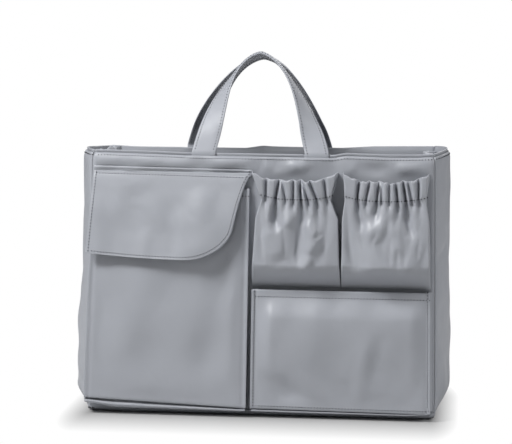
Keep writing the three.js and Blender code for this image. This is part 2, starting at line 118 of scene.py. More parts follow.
def woven_cloth(name, light, dark, roughness, weave, crumple, sheen):
    """Satin or matt woven cloth: colours, mean roughness, bump depths in metres, and sheen."""
    material, tree, shader = new_material(name)
    place = add_node(tree, "ShaderNodeTexCoord")
    cloth = add_node(tree, "ShaderNodeSeparateXYZ", {"Vector": place.outputs["UV"]})
    threads = []
    for axis in ("X", "Y"):
        turns = {0: cloth.outputs[axis], 1: 2 * math.pi / WEAVE_M}
        phase = add_node(tree, "ShaderNodeMath", turns, operation="MULTIPLY")
        threads.append(add_node(tree, "ShaderNodeMath", {0: phase}, operation="SINE"))
    crossing = add_node(tree, "ShaderNodeMath", {0: threads[0], 1: threads[1]}, operation="MULTIPLY")
    dents = add_node(tree, "ShaderNodeTexNoise", {
        "Vector": place.outputs["Object"], "Scale": 1 / DENT_M, **SOFT_NOISE})
    crumples = add_node(tree, "ShaderNodeTexNoise", {
        "Vector": place.outputs["Object"], "Scale": 1 / CRUMPLE_M, "Distortion": 0.3, **SOFT_NOISE})
    colour = add_node(tree, "ShaderNodeMix", {
        "Factor": dents.outputs["Fac"], 6: linear(dark), 7: linear(light)}, data_type="RGBA")
    gloss = add_node(tree, "ShaderNodeMapRange", {
        "Value": crumples.outputs["Fac"], "From Min": 0.3, "From Max": 0.7,
        "To Min": roughness - 0.05, "To Max": roughness + 0.06})
    crumpled = add_node(tree, "ShaderNodeBump", {
        "Height": crumples.outputs["Fac"], "Distance": crumple, "Strength": 1.0})
    bumped = add_node(tree, "ShaderNodeBump", {
        "Height": crossing, "Distance": weave, "Strength": 1.0, "Normal": crumpled})
    set_inputs(tree, shader, {
        "Base Color": colour.outputs[2], "Roughness": gloss, "Normal": bumped, "IOR": 1.5,
        "Sheen Weight": sheen, "Sheen Roughness": 0.4})
    return material


SHELL_CLOTH = woven_cloth("pu_coated_polyester", "a6a9b0", "9fa2a9", 0.41, 0.000006, 0.0005, 0.05)
STRAP_CLOTH = woven_cloth("folded_pu_coated_polyester", "a7aab1", "9da0a8", 0.5, 0.000004, 0.0005, 0.05)
LINING_CLOTH = woven_cloth("polyester_taffeta_lining", "8d9098", "82858d", 0.55, 0.00001, 0.0008, 0.1)
print("cloths:", SHELL_CLOTH.name, STRAP_CLOTH.name, LINING_CLOTH.name)

# %% [markdown]
# ## Thread, elastic, tape, foam and board
# The thread is spun polyester in the cloth's own colour. Each needle hole beside it is painted shade: a small
# dark bead stands for the tiny pit in shadow. Elastic is ribbed along its length, hook and loop tape is a
# rough pile, the foam is a fine closed-cell sheet, and the board in the base is plain moulded polyethylene.
# All of them are small in view or hidden, so one noise does for each, drawn out where the real grain has a
# direction. Grain sizes and depths are in metres, from 0.6 mm for thread to 2 mm for the board.

# %% Make the small finishes
def grained(name, hex_colour, second, roughness, grain_m, depth_m, stretch=(1, 1, 1)):
    """A finish with one grain: two colours, roughness, grain size and depth, and the grain's stretch."""
    material, tree, shader = new_material(name)
    place = add_node(tree, "ShaderNodeTexCoord")
    drawn = add_node(tree, "ShaderNodeMapping", {"Vector": place.outputs["Object"], "Scale": stretch})
    grain = add_node(tree, "ShaderNodeTexNoise", {"Vector": drawn, "Scale": 1 / grain_m, "Detail": 3.0})
    colour = add_node(tree, "ShaderNodeMix", {
        "Factor": grain.outputs["Fac"], 6: linear(hex_colour), 7: linear(second)}, data_type="RGBA")
    bump = add_node(tree, "ShaderNodeBump", {"Height": grain.outputs["Fac"], "Distance": depth_m})
    set_inputs(tree, shader, {"Base Color": colour.outputs[2], "Normal": bump, "Roughness": roughness})
    return material


THREAD = grained("spun_polyester_thread", "b6b9c0", "a6a9b1", 0.6, 0.0006, 0.0001, (1, 1, 3))
# The needle holes are painted shade: a small dark bead stands where the pit would lie in shadow.
HOLE_SHADE = grained("painted_needle_hole_shade", "2b2c30", "232428", 0.9, 0.001, 0.0001)
ELASTIC_WEB = grained("woven_elastic", "c3c4c7", "aeb0b4", 0.8, 0.0015, 0.0004, (1, 1, 0.1))
CLOSURE_TAPE = grained("nylon_hook_and_loop_tape", "8b8e96", "74777f", 0.95, 0.0009, 0.0005)
FOAM_SHEET = grained("closed_cell_foam", "dcdcd8", "cfcfca", 0.9, 0.0012, 0.0002)
BOARD_SHEET = grained("polyethylene_board", "434447", "38393c", 0.55, 0.002, 0.0001)
FINISHES = {"shell_cloth": SHELL_CLOTH, "strap_cloth": STRAP_CLOTH, "lining_cloth": LINING_CLOTH,
            "elastic": ELASTIC_WEB, "closure_tape": CLOSURE_TAPE, "foam": FOAM_SHEET}
print("finishes by slot:", {slot: material.name for slot, material in FINISHES.items()})

# %% [markdown]
# ## Cloth as a fine grid
# Every ply is a grid of points on its middle surface. The mesh is that grid pushed out by half the thickness
# on each side, with one extra line of points round the edge, so that a folded edge is round and not cut. The
# UV map is the length along the cloth, in metres. Solidify would do the same with less control of the edge.

# %% Grid helpers
MM = 0.001


def smooth(low, high, value):
    """0 below low, 1 above high, and an easy curve between."""
    t = np.clip((value - low) / (high - low), 0, 1)
    return t * t * (3 - 2 * t)


def lay_out(columns, rows):
    """Two arrays that hold the column and row value at every grid point."""
    return np.meshgrid(np.asarray(columns, float), np.asarray(rows, float))


def points(x, y, z):
    """Three arrays as one grid of points."""
    return np.stack(np.broadcast_arrays(x, y, z), axis=2).astype(float)


def normals(grid):
    """The unit normal at each grid point, to the right of the rows' direction."""
    across = np.cross(np.gradient(grid, axis=1), np.gradient(grid, axis=0))
    return across / np.maximum(np.linalg.norm(across, axis=2, keepdims=True), 1e-9)


def run(grid, axis):
    """Length along the cloth from the grid's first line, in millimetres."""
    step = np.linalg.norm(np.diff(grid, axis=axis), axis=2)
    start = np.zeros_like(np.take(step, [0], axis=axis))
    return np.concatenate([start, np.cumsum(step, axis=axis)], axis=axis)


def evenly(line, count, closed=False):
    """Points at even steps along a line of points."""
    length = np.concatenate([[0], np.cumsum(np.linalg.norm(np.diff(line, axis=0), axis=1))])
    at = np.linspace(0, length[-1], count, endpoint=not closed)
    return np.column_stack([np.interp(at, length, values) for values in line.T])


def on_grid(grid, rows, columns):
    """Points of a grid at shares of its rows and columns, straight between its own points."""
    rows, columns = np.broadcast_arrays(np.asarray(rows, float), np.asarray(columns, float))
    r, c = rows * (grid.shape[0] - 1), columns * (grid.shape[1] - 1)
    r0, c0 = np.minimum(r.astype(int), grid.shape[0] - 2), np.minimum(c.astype(int), grid.shape[1] - 2)
    fr, fc = (r - r0)[:, None], (c - c0)[:, None]
    low = grid[r0, c0] * (1 - fc) + grid[r0, c0 + 1] * fc
    high = grid[r0 + 1, c0] * (1 - fc) + grid[r0 + 1, c0 + 1] * fc
    return low * (1 - fr) + high * fr


print("smooth(0, 10, 5) =", smooth(0, 10, 5))

# %% Faces, edges and meshes
def quads(rows, columns):
    """The faces of a grid of points, four corners each."""
    index = np.arange(rows * columns).reshape(rows, columns)
    corners = index[:-1, :-1], index[:-1, 1:], index[1:, 1:], index[1:, :-1]
    return np.stack(corners, axis=2).reshape(-1, 4)


def edge_loop(rows, columns):
    """The grid's outer points in order round the edge, and the inner neighbour of each."""
    index = np.arange(rows * columns).reshape(rows, columns)
    loop = np.concatenate([index[0, :-1], index[:-1, -1], index[-1, :0:-1], index[:0:-1, 0]])
    inner = np.concatenate([index[1, :-1], index[:-1, -2], index[-2, :0:-1], index[:0:-1, 1]])
    return loop, inner


def finish_mesh(name, spots, faces, cloth):
    """A smooth-shaded mesh in metres from points in millimetres, with its UV map."""
    mesh = bpy.data.meshes.new(name)
    mesh.from_pydata((spots * MM).tolist(), [], faces)
    corners = np.zeros(len(mesh.loops), np.int32)
    mesh.loops.foreach_get("vertex_index", corners)
    uv = (cloth * MM)[corners].astype(np.float32)
    mesh.uv_layers.new(name="cloth").data.foreach_set("uv", uv.ravel())
    mesh.polygons.foreach_set("use_smooth", np.ones(len(mesh.polygons), bool))
    mesh.update()
    return mesh


print("a ply of 3 by 3 points has", len(edge_loop(3, 3)[0]), "edge points")

# %% Turn a grid into a closed ply
ROUND_EDGE = 0.8  # how far an edge bulges, as a share of half the ply


def ply_mesh(name, grid, thickness):
    """A closed ply: the grid's two faces and a round edge between them."""
    rows, columns = grid.shape[:2]
    half = normals(grid) * (np.broadcast_to(thickness, (rows, columns))[..., None] / 2)
    flat, half = grid.reshape(-1, 3), half.reshape(-1, 3)
    loop, inner = edge_loop(rows, columns)
    away = flat[loop] - flat[inner]
    away /= np.maximum(np.linalg.norm(away, axis=1, keepdims=True), 1e-9)
    rim = flat[loop] + ROUND_EDGE * np.linalg.norm(half[loop], axis=1, keepdims=True) * away
    layer, outer = rows * columns, quads(rows, columns)
    here = np.arange(len(loop))
    there = np.roll(here, -1)
    edge = 2 * layer + here, 2 * layer + there
    upper = np.stack([loop[there], loop[here], edge[0], edge[1]], axis=1)
    lower = np.stack([edge[1], edge[0], layer + loop[here], layer + loop[there]], axis=1)
    faces = np.concatenate([outer, layer + outer[:, ::-1], upper, lower])
    cloth = np.stack([run(grid, 1), run(grid, 0)], axis=2).reshape(-1, 2)
    return finish_mesh(name, np.concatenate([flat + half, flat - half, rim]), faces.tolist(),
                       np.concatenate([cloth, cloth, cloth[loop]]))


print("an edge bulges by", ROUND_EDGE, "of half its ply")

# %% [markdown]
# ## Folds
# Coated cloth doesn't wrinkle evenly. It swells in broad shallow waves, and here and there a fold runs along
# a line. The waves are a sum of cosines with seeded directions, so each run gives the same cloth. A fold is a
# ridge or valley along a line with a bell-shaped section that fades at both ends. A simulation would put
# folds where it likes. Here each piece lists its own, where the photograph shows them.

# %% Wave and fold helpers
def waves(a, b, length_a, length_b, seed, count=24):
    """A smooth random field of about unit strength, with lengths in millimetres."""
    rng = np.random.default_rng(seed)
    total = np.zeros(np.broadcast(a, b).shape)
    for _ in range(count):
        pull = rng.normal(0, 1, 2) * 2 * math.pi / np.array([length_a, length_b])
        total += np.cos(pull[0] * a + pull[1] * b + rng.uniform(0, 2 * math.pi))
    return total * math.sqrt(2 / count) / 2


def fold(a, b, start, end, width, height):
    """A fold of that width and height along the line from start to end."""
    start, end = np.array(start, float), np.array(end, float)
    line = end - start
    along = ((a - start[0]) * line[0] + (b - start[1]) * line[1]) / (line @ line)
    off = np.hypot(a - start[0] - along * line[0], b - start[1] - along * line[1])
    fade = smooth(-0.25, 0.25, along) * (1 - smooth(0.75, 1.25, along))
    return height * np.exp(-(off / width) ** 2) * fade


def folds(a, b, rows):
    """A sum of folds. A row has both places of the start and of the end, the width and the height."""
    return sum(fold(a, b, row[:2], row[2:4], *row[4:]) for row in rows)


print("waves repeat:", waves(1.0, 2.0, 50, 50, 7) == waves(1.0, 2.0, 50, 50, 7))

# %% [markdown]
# ## Putting a piece in place
# Each finished piece rides on a body, or, where it crosses a joint, is baked where it stands. It stands for
# its
# CAD nodes, which are hidden. One function does this for all of them and notes the flat size of each cut.

# %% Place a cloth piece
MIN_CUT_M = 0.01  # a cut is declared with sides of at least 10 mm
flat_sizes = {}


def place(name, mesh, slot, nodes, body="organizer_body", bend=None):
    """Adds a mesh as a piece with its slot's finish, hides its CAD nodes, and ties it to its body or, if
    bent, bakes it.
    """
    piece = add_object(name, mesh)
    piece.data.materials.append(FINISHES[slot])
    if bend:
        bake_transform(piece)
    else:
        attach(piece, body)
    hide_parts(*nodes)
    return piece


def sew(name, grid, thickness, slot, nodes, held="stretched", on=("front_shell_cloth",), **where):
    """A cloth ply from a grid, placed, with the flat size of its cut noted."""
    piece = place(name, ply_mesh(name, grid, thickness), slot, nodes, **where)
    width = max(run(grid, 1)[:, -1].max() * MM, MIN_CUT_M)
    length = max(np.median(run(grid, 0)[-1]) * MM, MIN_CUT_M)
    flat_sizes[name] = (round(width * 1000), round(length * 1000))
    return piece


print("a piece is a mesh, a finish, a body and the nodes that it stands for")

# %% [markdown]
# ## The soft box
# The walls are stacks of plies: shell, foam, lining, and a facing along the rim. A wall could be one thick
# slab, but separate plies give the rim true edges, and the straps come out between them. The shapes are the
# part's own: the ends swell outward, the back bows to a fold crease, and the base is a little wider than the
# rim. Corners of the base lift off the table, as a sewn box does, and the slack rim stands up here and sags
# there. All plies of a wall share one field of soft dents, so they stay in order.

# %% Measures of the box
# Here and below, lengths without a unit are in millimetres.
BODY_HEIGHT, HALF_DEPTH, RIM_WIDTH, BASE_FLARE = 274, 66, 358, 5
LEFT_BOW, LEFT_RISE, RIGHT_BOW, RIGHT_RISE = 19, 17, 14, 26
BACK_BOW, BACK_CREASE, BACK_POWER = 10, -11, 1.5
SHELL, FOAM, LINING, FACING, GAP = 0.9, 2.0, 0.6, 1.2, 0.4
LIP_HEIGHT, RIM_STEP, FACING_HEIGHT, STRAP_TAIL = 5, 3, 14, 26
FOAM_INSET = SHELL + GAP + FOAM / 2
LINER_FACE = SHELL + GAP + FOAM + GAP
WALL_FOOT, SHELL_TOP = LIP_HEIGHT + GAP, BODY_HEIGHT - RIM_STEP


def half_width(z):
    """Half of the width between the corner seams."""
    return RIM_WIDTH / 2 + BASE_FLARE * (1 - z / BODY_HEIGHT)


def end_bow(side, y, z):
    """How far an end swells out."""
    bow, height = (LEFT_BOW, LEFT_RISE) if side < 0 else (RIGHT_BOW, RIGHT_RISE)
    rise = np.sin(np.clip((z - LIP_HEIGHT) / height, 0, 1) * math.pi / 2)
    return bow * rise * (1 - (y / HALF_DEPTH) ** 2)


def back_bow(x, z):
    """How far the back bows out, most at its crease."""
    corner = np.where(x < BACK_CREASE, -half_width(z), half_width(z))
    inward = np.clip((corner - x) / (corner - BACK_CREASE), 0, 1)
    return BACK_BOW * z / BODY_HEIGHT * inward ** BACK_POWER


print("width at the base", half_width(0) * 2, "mm, at the rim", half_width(BODY_HEIGHT) * 2, "mm")

# %% Soft dents of the walls
STRAP_FEET = {"front": (-62, 56), "back": (-82, 52)}
LEFT_LIFT, RIGHT_LIFT, LIFT_FROM, LIFT_TO = 5.0, 2.6, 148, 184
STRAP_SLOT = 12, 18  # the rim is open this far from a strap's middle, and shut beyond
DENT_HEIGHT = 1.6
FRONT_FOLDS = ((28, 263, 46, 262, 6, 1.9), (142, 261, 164, 262, 5, 1.8),
               (0, 262, 10, 260, 5, 2.0), (80, 266, 96, 258, 7, 2.0))


def base_lift(x):
    """How far the base seam rises towards the ends of the base."""
    return np.where(x < 0, LEFT_LIFT, RIGHT_LIFT) * smooth(LIFT_FROM, LIFT_TO, np.abs(x))


def rim_close(x, wall):
    """1 where shell and facing meet at the rim, 0 where a strap comes out between them."""
    return 1 - sum(1 - smooth(*STRAP_SLOT, np.abs(x - foot)) for foot in STRAP_FEET.get(wall, ()))


def front_dents(x, z):
    """How far the front wall stands out above the pockets."""
    above = smooth(243, 258, z) * (1 - smooth(266, 273, z))  # from the pockets' seams to the rim
    sides = smooth(0, 14, half_width(z) - np.abs(x))  # flat within 14 mm of the corners
    puff = 2.6 * (1 - smooth(-30, -8, x)) * np.sin(math.pi * np.clip((z - 256) / 16, 0, 1))
    ridge = fold(x, z, (-22, 270), (-8, 256), 5, 2.0)
    return (puff + ridge + folds(x, z, FRONT_FOLDS) + DENT_HEIGHT * waves(x, z, 70, 40, 11)) * above * sides


def end_dents(side, y, z):
    """How far an end stands out: the left is tucked in above its middle, the right has a ripple."""
    tuck = -2.6 * smooth(80, 150, z) if side < 0 else 0
    ripple = fold(y, z, (-60, 168), (-30, 180), 5, -1.2) if side > 0 else 0
    middle = 1 - (y / HALF_DEPTH) ** 2
    return (tuck + DENT_HEIGHT * waves(y, z, 90, 110, 21 + side)) * middle * smooth(5, 40, z) + ripple


def back_dents(x, z):
    """How far the plain back stands out."""
    middle = smooth(0, 40, half_width(z) - np.abs(x)) * smooth(5, 40, z)
    return 1.8 * waves(x, z, 150, 130, 31) * middle


print("base corners lift by", float(base_lift(184)), "mm")

# %% The rim and the corners
CORNER_SET, CORNER_ROLL, CORNER_REACH = 2.2, 0.85, 4.0
RIM_FADE, SHUT_HEIGHT = 60, 5
RIM_LIFTS = {
    "front": ((-178, 1.5), (-163, 1.6), (-112, 0.8), (-80, 0), (74, 0), (86, 2.4), (131, 1.4), (160, 2),
              (178, 3)),
    "back": ((-178, -1), (-150, -2.2), (-30, -2.2), (-12, 0.5), (0, 0), (75, 0), (110, 2.5), (178, 4)),
    "left_end": ((-66, 1.5), (-35, 1.8), (0, 0.8), (35, -0.8), (66, -1.5)),
    "right_end": ((-66, 3), (-35, 4.8), (0, 6), (35, 5.6), (66, 4))}


def wall_levels(low, high, x, count):
    """Heights from the lifted base seam, or from a level foot, to the top."""
    share = np.linspace(0, 1, count)[:, None]
    foot = low + (base_lift(x) if low == WALL_FOOT else 0) * np.ones_like(x)
    return foot + (high - foot) * share


def corner_roll(share, reach):
    """How far an edge rolls in at the corner seam."""
    return CORNER_ROLL * (1 - smooth(0, CORNER_REACH, (1 - np.abs(share)) * reach))


def rim_lift(wall, at, z):
    """How far the slack rim stands up or sags, at a place along a wall."""
    return np.interp(at, *zip(*RIM_LIFTS[wall])) * smooth(BODY_HEIGHT - RIM_FADE, BODY_HEIGHT, z)


print("the right end's rim stands up by", float(rim_lift("right_end", 0, BODY_HEIGHT)), "mm")

# %% Grids of the walls
def flat_wall(wall, inset, edge, low, high, columns, rows, roll=0.0, rim=0.0):
    """A grid on the front or back wall. rim is how far the top edge turns towards the rim seam."""
    facing = -1 if wall == "front" else 1
    share = np.linspace(-1, 1, columns)[None, :] * -facing
    z = wall_levels(low, high, share * RIM_WIDTH / 2, rows)
    beside = HALF_DEPTH - max(inset, CORNER_SET)
    swell = np.where(share < 0, end_bow(-1, beside, z), end_bow(1, beside, z))
    shut = rim * smooth(high - SHUT_HEIGHT, high, z)
    x = share * (half_width(z) - edge + swell - shut)
    out = front_dents(x, z) if facing < 0 else back_bow(x, z) + back_dents(x, z)
    turn = shut * rim_close(x, wall) + roll * corner_roll(share, half_width(z))
    return points(x, facing * (HALF_DEPTH - inset + out - turn), z + rim_lift(wall, x, z))


def end_wall(wall, inset, edge, low, high, columns, rows, roll=0.0, rim=0.0):
    """A grid on the left or right end."""
    side = -1 if wall == "left_end" else 1
    reach = HALF_DEPTH - edge
    share = np.linspace(-1, 1, columns)[None, :] * side
    z = wall_levels(low, high, np.full((1, columns), half_width(0)), rows)
    shut = rim * smooth(high - SHUT_HEIGHT, high, z)
    y = share * (reach - shut)
    turn = shut + roll * corner_roll(share, reach)
    out = half_width(z) - inset + end_bow(side, y, z) + end_dents(side, y, z) - turn
    return points(side * out, y, z + rim_lift(wall, y, z))


print("front wall grid:", flat_wall("front", 0.45, 2.2, WALL_FOOT, SHELL_TOP, 5, 4).shape)

# %% Sew the walls
WALLS = {"front": 120, "back": 120, "left_end": 48, "right_end": 48}  # columns of each wall's grid
LINING_TOP, FACING_FOOT = BODY_HEIGHT - FACING_HEIGHT - GAP, BODY_HEIGHT - FACING_HEIGHT
SHELL_TURN, FACING_TURN = 1.5, -0.9  # how far the top edges turn towards the rim seam
wall_shells = {}
for wall, columns in WALLS.items():
    # The foam of front and back ends below the strap tails. Side edges keep the plies apart in the corners.
    if wall in STRAP_FEET:
        wall_grid, foam_top = flat_wall, BODY_HEIGHT - STRAP_TAIL - GAP
        foam_edge, lining_edge, facing_edge = 2.8, 4.5, LINER_FACE + (FACING + 0.4)
    else:
        wall_grid, foam_top = end_wall, SHELL_TOP - RIM_STEP
        foam_edge, lining_edge, facing_edge = 3.4, 3.6, LINER_FACE + 0.3
    shell = wall_grid(wall, SHELL / 2, CORNER_SET, WALL_FOOT, SHELL_TOP, columns, 90, 1.0, SHELL_TURN)
    wall_shells[wall] = shell
    sew(f"{wall}_shell_cloth", shell, SHELL, "shell_cloth", [f"{wall}_shell"], on=["base_board"])
    foam = wall_grid(wall, FOAM_INSET, foam_edge, WALL_FOOT, foam_top, columns // 2, 40)
    foam_name = f"{wall}_foam_sheet"
    foam_pad = place(foam_name, ply_mesh(foam_name, foam, FOAM), "foam", [f"{wall}_foam"])
    lining = wall_grid(wall, LINER_FACE + LINING / 2, lining_edge, WALL_FOOT, LINING_TOP, columns // 2, 60)
    sew(f"{wall}_lining_cloth", lining, LINING, "lining_cloth", [f"{wall}_lining"], on=["base_board"])
    facing = wall_grid(wall, LINER_FACE + FACING / 2, facing_edge, FACING_FOOT, BODY_HEIGHT, columns, 14,
                       rim=FACING_TURN)
    sew(f"{wall}_facing_cloth", facing, FACING, "shell_cloth", [f"{wall}_rim_facing"],
        on=[f"{wall}_shell_cloth"])
print("walls:", len(flat_sizes), "cloth cuts, front shell", flat_sizes["front_shell_cloth"], "mm")

# %% [markdown]
# ## The base
# The base is a panel whose edge turns up to the base seam, with a board and a lining lying in it. A soft
# panel has no square edge, so its outline is a stack of rounded loops that roll over at the bottom. Lofting
# loops round the outline is easier than bevelling a box, and the corners can lift with the seam.

# %% Rounded loops for the base
BASE_RADIUS, LEAST_RADIUS, LOOP_POINTS, CORNER_POINTS = 8, 2, 240, 12


def rounded_loop(inset):
    """Points round the base's outline moved in by inset, anticlockwise from above and evenly spaced."""
    radius = max(LEAST_RADIUS, BASE_RADIUS - inset)
    x, y = half_width(0) - inset - radius, HALF_DEPTH - inset - radius
    corners = []
    for quarter, (sx, sy) in enumerate([(1, 1), (-1, 1), (-1, -1), (1, -1)]):
        turn = np.linspace(quarter, quarter + 1, CORNER_POINTS) * math.pi / 2
        corners.append(np.stack([sx * x + radius * np.cos(turn), sy * y + radius * np.sin(turn)], axis=1))
    return evenly(np.concatenate(corners + [corners[0][:1]]), LOOP_POINTS, closed=True)


def lofted(name, levels):
    """A closed mesh through loops. A level is its inset, its height and its share of the corners' lift."""
    loops = []
    for inset, z, lift in levels:
        ring = rounded_loop(inset)
        loops.append(np.column_stack([ring, z + lift * base_lift(ring[:, 0])]))
    here, there = np.arange(LOOP_POINTS), np.roll(np.arange(LOOP_POINTS), -1)
    faces = [here[::-1].tolist()]
    for level in range(len(loops) - 1):
        low, high = level * LOOP_POINTS, (level + 1) * LOOP_POINTS
        faces += np.stack([low + here, low + there, high + there, high + here], axis=1).tolist()
    faces.append(((len(loops) - 1) * LOOP_POINTS + here).tolist())
    spots = np.concatenate(loops)
    return finish_mesh(name, spots, faces, spots[:, :2])


print("base loop:", len(rounded_loop(0)), "points")

# %% Sew the base
BOARD_PLY = 2
LINING_FLOOR = SHELL + GAP + BOARD_PLY + GAP
BASE_FLAT = (2 * half_width(0) * MM, 2 * HALF_DEPTH * MM)
PANEL_LEVELS = [(60, 0, 0), (30, 0, 0), (12, 0, 0), (6, 0.05, 0.05), (2.5, 0.25, 0.25), (0.8, 0.9, 0.6),
                (0.1, 2.1, 0.9), (0, 3.5, 1), (0.3, 4.9, 1), (0.8, 5.2, 1), (1.2, 4.6, 1), (1.25, 1.6, 0.1),
                (2.2, 0.95, 0), (12, 0.9, 0), (60, 0.9, 0)]
LINING_SECTION = [(60, 0), (6, 0), (1.9, 0.05), (1.6, 0.3), (1.9, 0.55), (6, 0.6), (60, 0.6)]
LINING_LEVELS = [(inset, LINING_FLOOR + z, 0) for inset, z in LINING_SECTION]
for name, levels, slot, node, held in (
        ("bottom_panel_cloth", PANEL_LEVELS, "shell_cloth", "bottom_shell", "stretched"),
        ("bottom_lining_cloth", LINING_LEVELS, "lining_cloth", "bottom_lining", "laid")):
    piece = place(name, lofted(name, levels), slot, [node])
    flat_sizes[name] = tuple(round(v * 1000) for v in BASE_FLAT)
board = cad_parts["base_board"]
board.data.materials.clear()
board.data.materials.append(BOARD_SHEET)
print("base:", flat_sizes["bottom_panel_cloth"], "mm")

# %% [markdown]
# ## Bellows pockets
# Each bellows pocket is a front panel that stands off the wall on pleated side gussets and a bottom gusset.
# The panel is edge-stitched, so its sides carry a pinched ridge, and the cloth between swells a little. Side
# gussets join the wall to the panel, and are baked where they stand, on neither body. The pleat is drawn, not
# simulated.

# %% Measures of the pockets
POCKET_MARGIN, POCKET_LANE, POCKET_CROWN = 3, 4.5, 3
GUSSET_PLEAT, GUSSET_FLARE, GUSSET_TUCK, HEM_HEIGHT = 6, 2, 4.5, 9
LARGE_WIDTH = 163
FLAP_HINGE = BODY_HEIGHT - 22
FOOT_PIVOT = 0.45  # a pocket's tilted foot is level at this share of its width


def outer_seam(z):
    """How far from the middle the outer seam of the pockets lies."""
    return half_width(z) - POCKET_MARGIN


LARGE_RIGHT = LARGE_WIDTH - outer_seam(BODY_HEIGHT)
BLOCK_LEFT = LARGE_RIGHT + POCKET_LANE
POCKETS = {
    "large_pocket": {
        "left": lambda z: -outer_seam(z) - 2.4 * (1 - smooth(110, 220, z)),
        "right": lambda z: LARGE_RIGHT + 0 * z, "flare": (0, 0),
        "sill": 14, "mouth": FLAP_HINGE - 14, "low_depth": 18, "top_depth": 4, "tilt": -7,
        "calm": (40, 1.0)},
    "lower_pocket": {
        "left": lambda z: BLOCK_LEFT + 0 * z, "right": lambda z: outer_seam(z) - GUSSET_FLARE,
        "flare": (0, GUSSET_FLARE), "sill": 9, "mouth": 133.5, "low_depth": 15, "top_depth": 10,
        "tilt": -1.5, "calm": (14, 0.5)},
}


def panel_depth(pocket, z):
    """How far a pocket's edge stands off the front face."""
    share = (z - pocket["sill"]) / (pocket["mouth"] - pocket["sill"])
    return pocket["low_depth"] + (pocket["top_depth"] - pocket["low_depth"]) * share


def panel_out(pocket, x, z, lift):
    """How far a pocket's panel stands off the front face, crown included."""
    left, right = pocket["left"](z), pocket["right"](z)
    across = np.clip(2 * (x - left) / (right - left) - 1, -1, 1)
    rise = np.clip((z - pocket["sill"]) / (pocket["mouth"] - pocket["sill"]), 0, 1)
    return panel_depth(pocket, z) + POCKET_CROWN * (1 - across ** 2) * np.sin(math.pi * rise) + lift


print("large pocket", LARGE_WIDTH, "mm wide, its right edge at x =", LARGE_RIGHT)

# %% Soft shapes of the pocket panels
LARGE_FOLDS = ((-150, 60, -110, 160, 18, 1.2), (-60, 30, -40, 150, 16, -1.3),
               (-120, 20, -70, 90, 20, 1.0), (-30, 60, -22, 190, 9, 1.0))
LOWER_FOLDS = ((-8, 47, 53, 18, 11, -3.2), (105, 20, 112, 80, 9, 1.6),
               (128, 90, 118, 40, 10, -1.6), (60, 20, 30, 70, 12, 1.4))


def large_swell(x, z):
    """Dents of the large pocket's panel."""
    return 1.4 * folds(x, z, LARGE_FOLDS) + 1.5 * waves(x, z, 100, 120, 41)


def lower_swell(x, z):
    """A soft bulge under the hem of the lower pocket, and slack cloth below it."""
    bulge = 7.0 * smooth(130, 104, z) * smooth(10, 100, z)
    return bulge + folds(x, z, LOWER_FOLDS) + 1.2 * waves(x, z, 80, 80, 43)


SWELLS = {"large_pocket": large_swell, "lower_pocket": lower_swell}


def panel_grid(name, lift, columns, rows, hem_low=None, clear=0.0):
    """A grid on a pocket's panel, or on its hem from hem_low up, clear of the side edges."""
    pocket = POCKETS[name]
    share = np.linspace(0, 1, columns)[None, :]
    level = np.linspace(0, 1, rows)[:, None]
    foot = pocket["sill"] + pocket["tilt"] * (share - FOOT_PIVOT) if hem_low is None else hem_low
    z = foot + (pocket["mouth"] - foot) * level
    left, right = pocket["left"](z), pocket["right"](z)
    x = left + clear + (right - clear - (left + clear)) * share
    edge = np.minimum(x - left, right - x)
    reach, calm = pocket["calm"]
    inner = smooth(4, 22, edge) * smooth(0, 18, z - pocket["sill"])
    inner = inner * (1 - calm * smooth(-reach, 0, z - pocket["mouth"]))
    # A ridge at the edge, and a groove along the stitch row 4 mm inside it.
    pinch = 0.7 * np.exp(-(edge / 1.6) ** 2) - 0.8 * np.exp(-((edge - 4) / 1.8) ** 2)
    out = panel_out(pocket, x, z, lift) + SWELLS[name](x, z) * inner + (pinch if hem_low is None else 0)
    return points(x, -(HALF_DEPTH + out), z)


print("swell at the lower pocket's bulge:", round(float(lower_swell(80.0, 108.0)), 2), "mm")

# %% Gussets of the pockets
def side_gusset(name, side, columns=15, rows=80):
    """A pleated strip from the wall to the panel's edge."""
    pocket = POCKETS[name]
    inward = 1 if side == "left" else -1
    share = np.linspace(0, 1, columns)[None, :]
    z = np.linspace(pocket["sill"] + GAP, pocket["mouth"], rows)[:, None]
    edge = pocket[side](z) + inward * SHELL / 2
    back = panel_depth(pocket, z) - SHELL / 2 - GAP
    pleat = GUSSET_PLEAT * (1 - np.abs(2 * share - 1)) ** 0.9
    flare = pocket["flare"][0 if side == "left" else 1] * (1 - share)
    wander = 0.7 * waves(share * 14, z, 30, 60, 51) * np.sin(math.pi * share)
    y = -(HALF_DEPTH + GAP + (back - GAP) * share)
    grid = points(edge + inward * (pleat - flare + wander), y, z)
    return grid if side == "right" else grid[:, ::-1]


def bottom_gusset(name, columns=90, rows=12):
    """A strip that rolls from the base seam out and up to the panel's foot."""
    pocket = POCKETS[name]
    share = np.linspace(0, 1, columns)[None, :]
    turn = np.linspace(0, 1, rows)[:, None]
    left, right = float(pocket["left"](0.0)) + SHELL, float(pocket["right"](0.0)) - SHELL
    x = left + (right - left) * share
    foot = pocket["sill"] + pocket["tilt"] * (share - FOOT_PIVOT) - SHELL / 2 - GAP
    low = WALL_FOOT + base_lift(x)
    # It reaches its full depth at 0.62 of its length, then turns up and is tucked in under the panel.
    depth = GAP + (pocket["low_depth"] - GAP) * np.sin(np.clip(turn / 0.62, 0, 1) * math.pi / 2) ** 0.7
    depth = depth - GUSSET_TUCK * smooth(0.6, 1, turn)
    z = low + (np.maximum(foot, low + 1.0) - low) * turn ** 1.3
    return points(x, -(HALF_DEPTH + depth + 0.4 * waves(x, z, 60, 20, 53) * turn), z)


print("side gusset grid:", side_gusset("large_pocket", "left").shape)

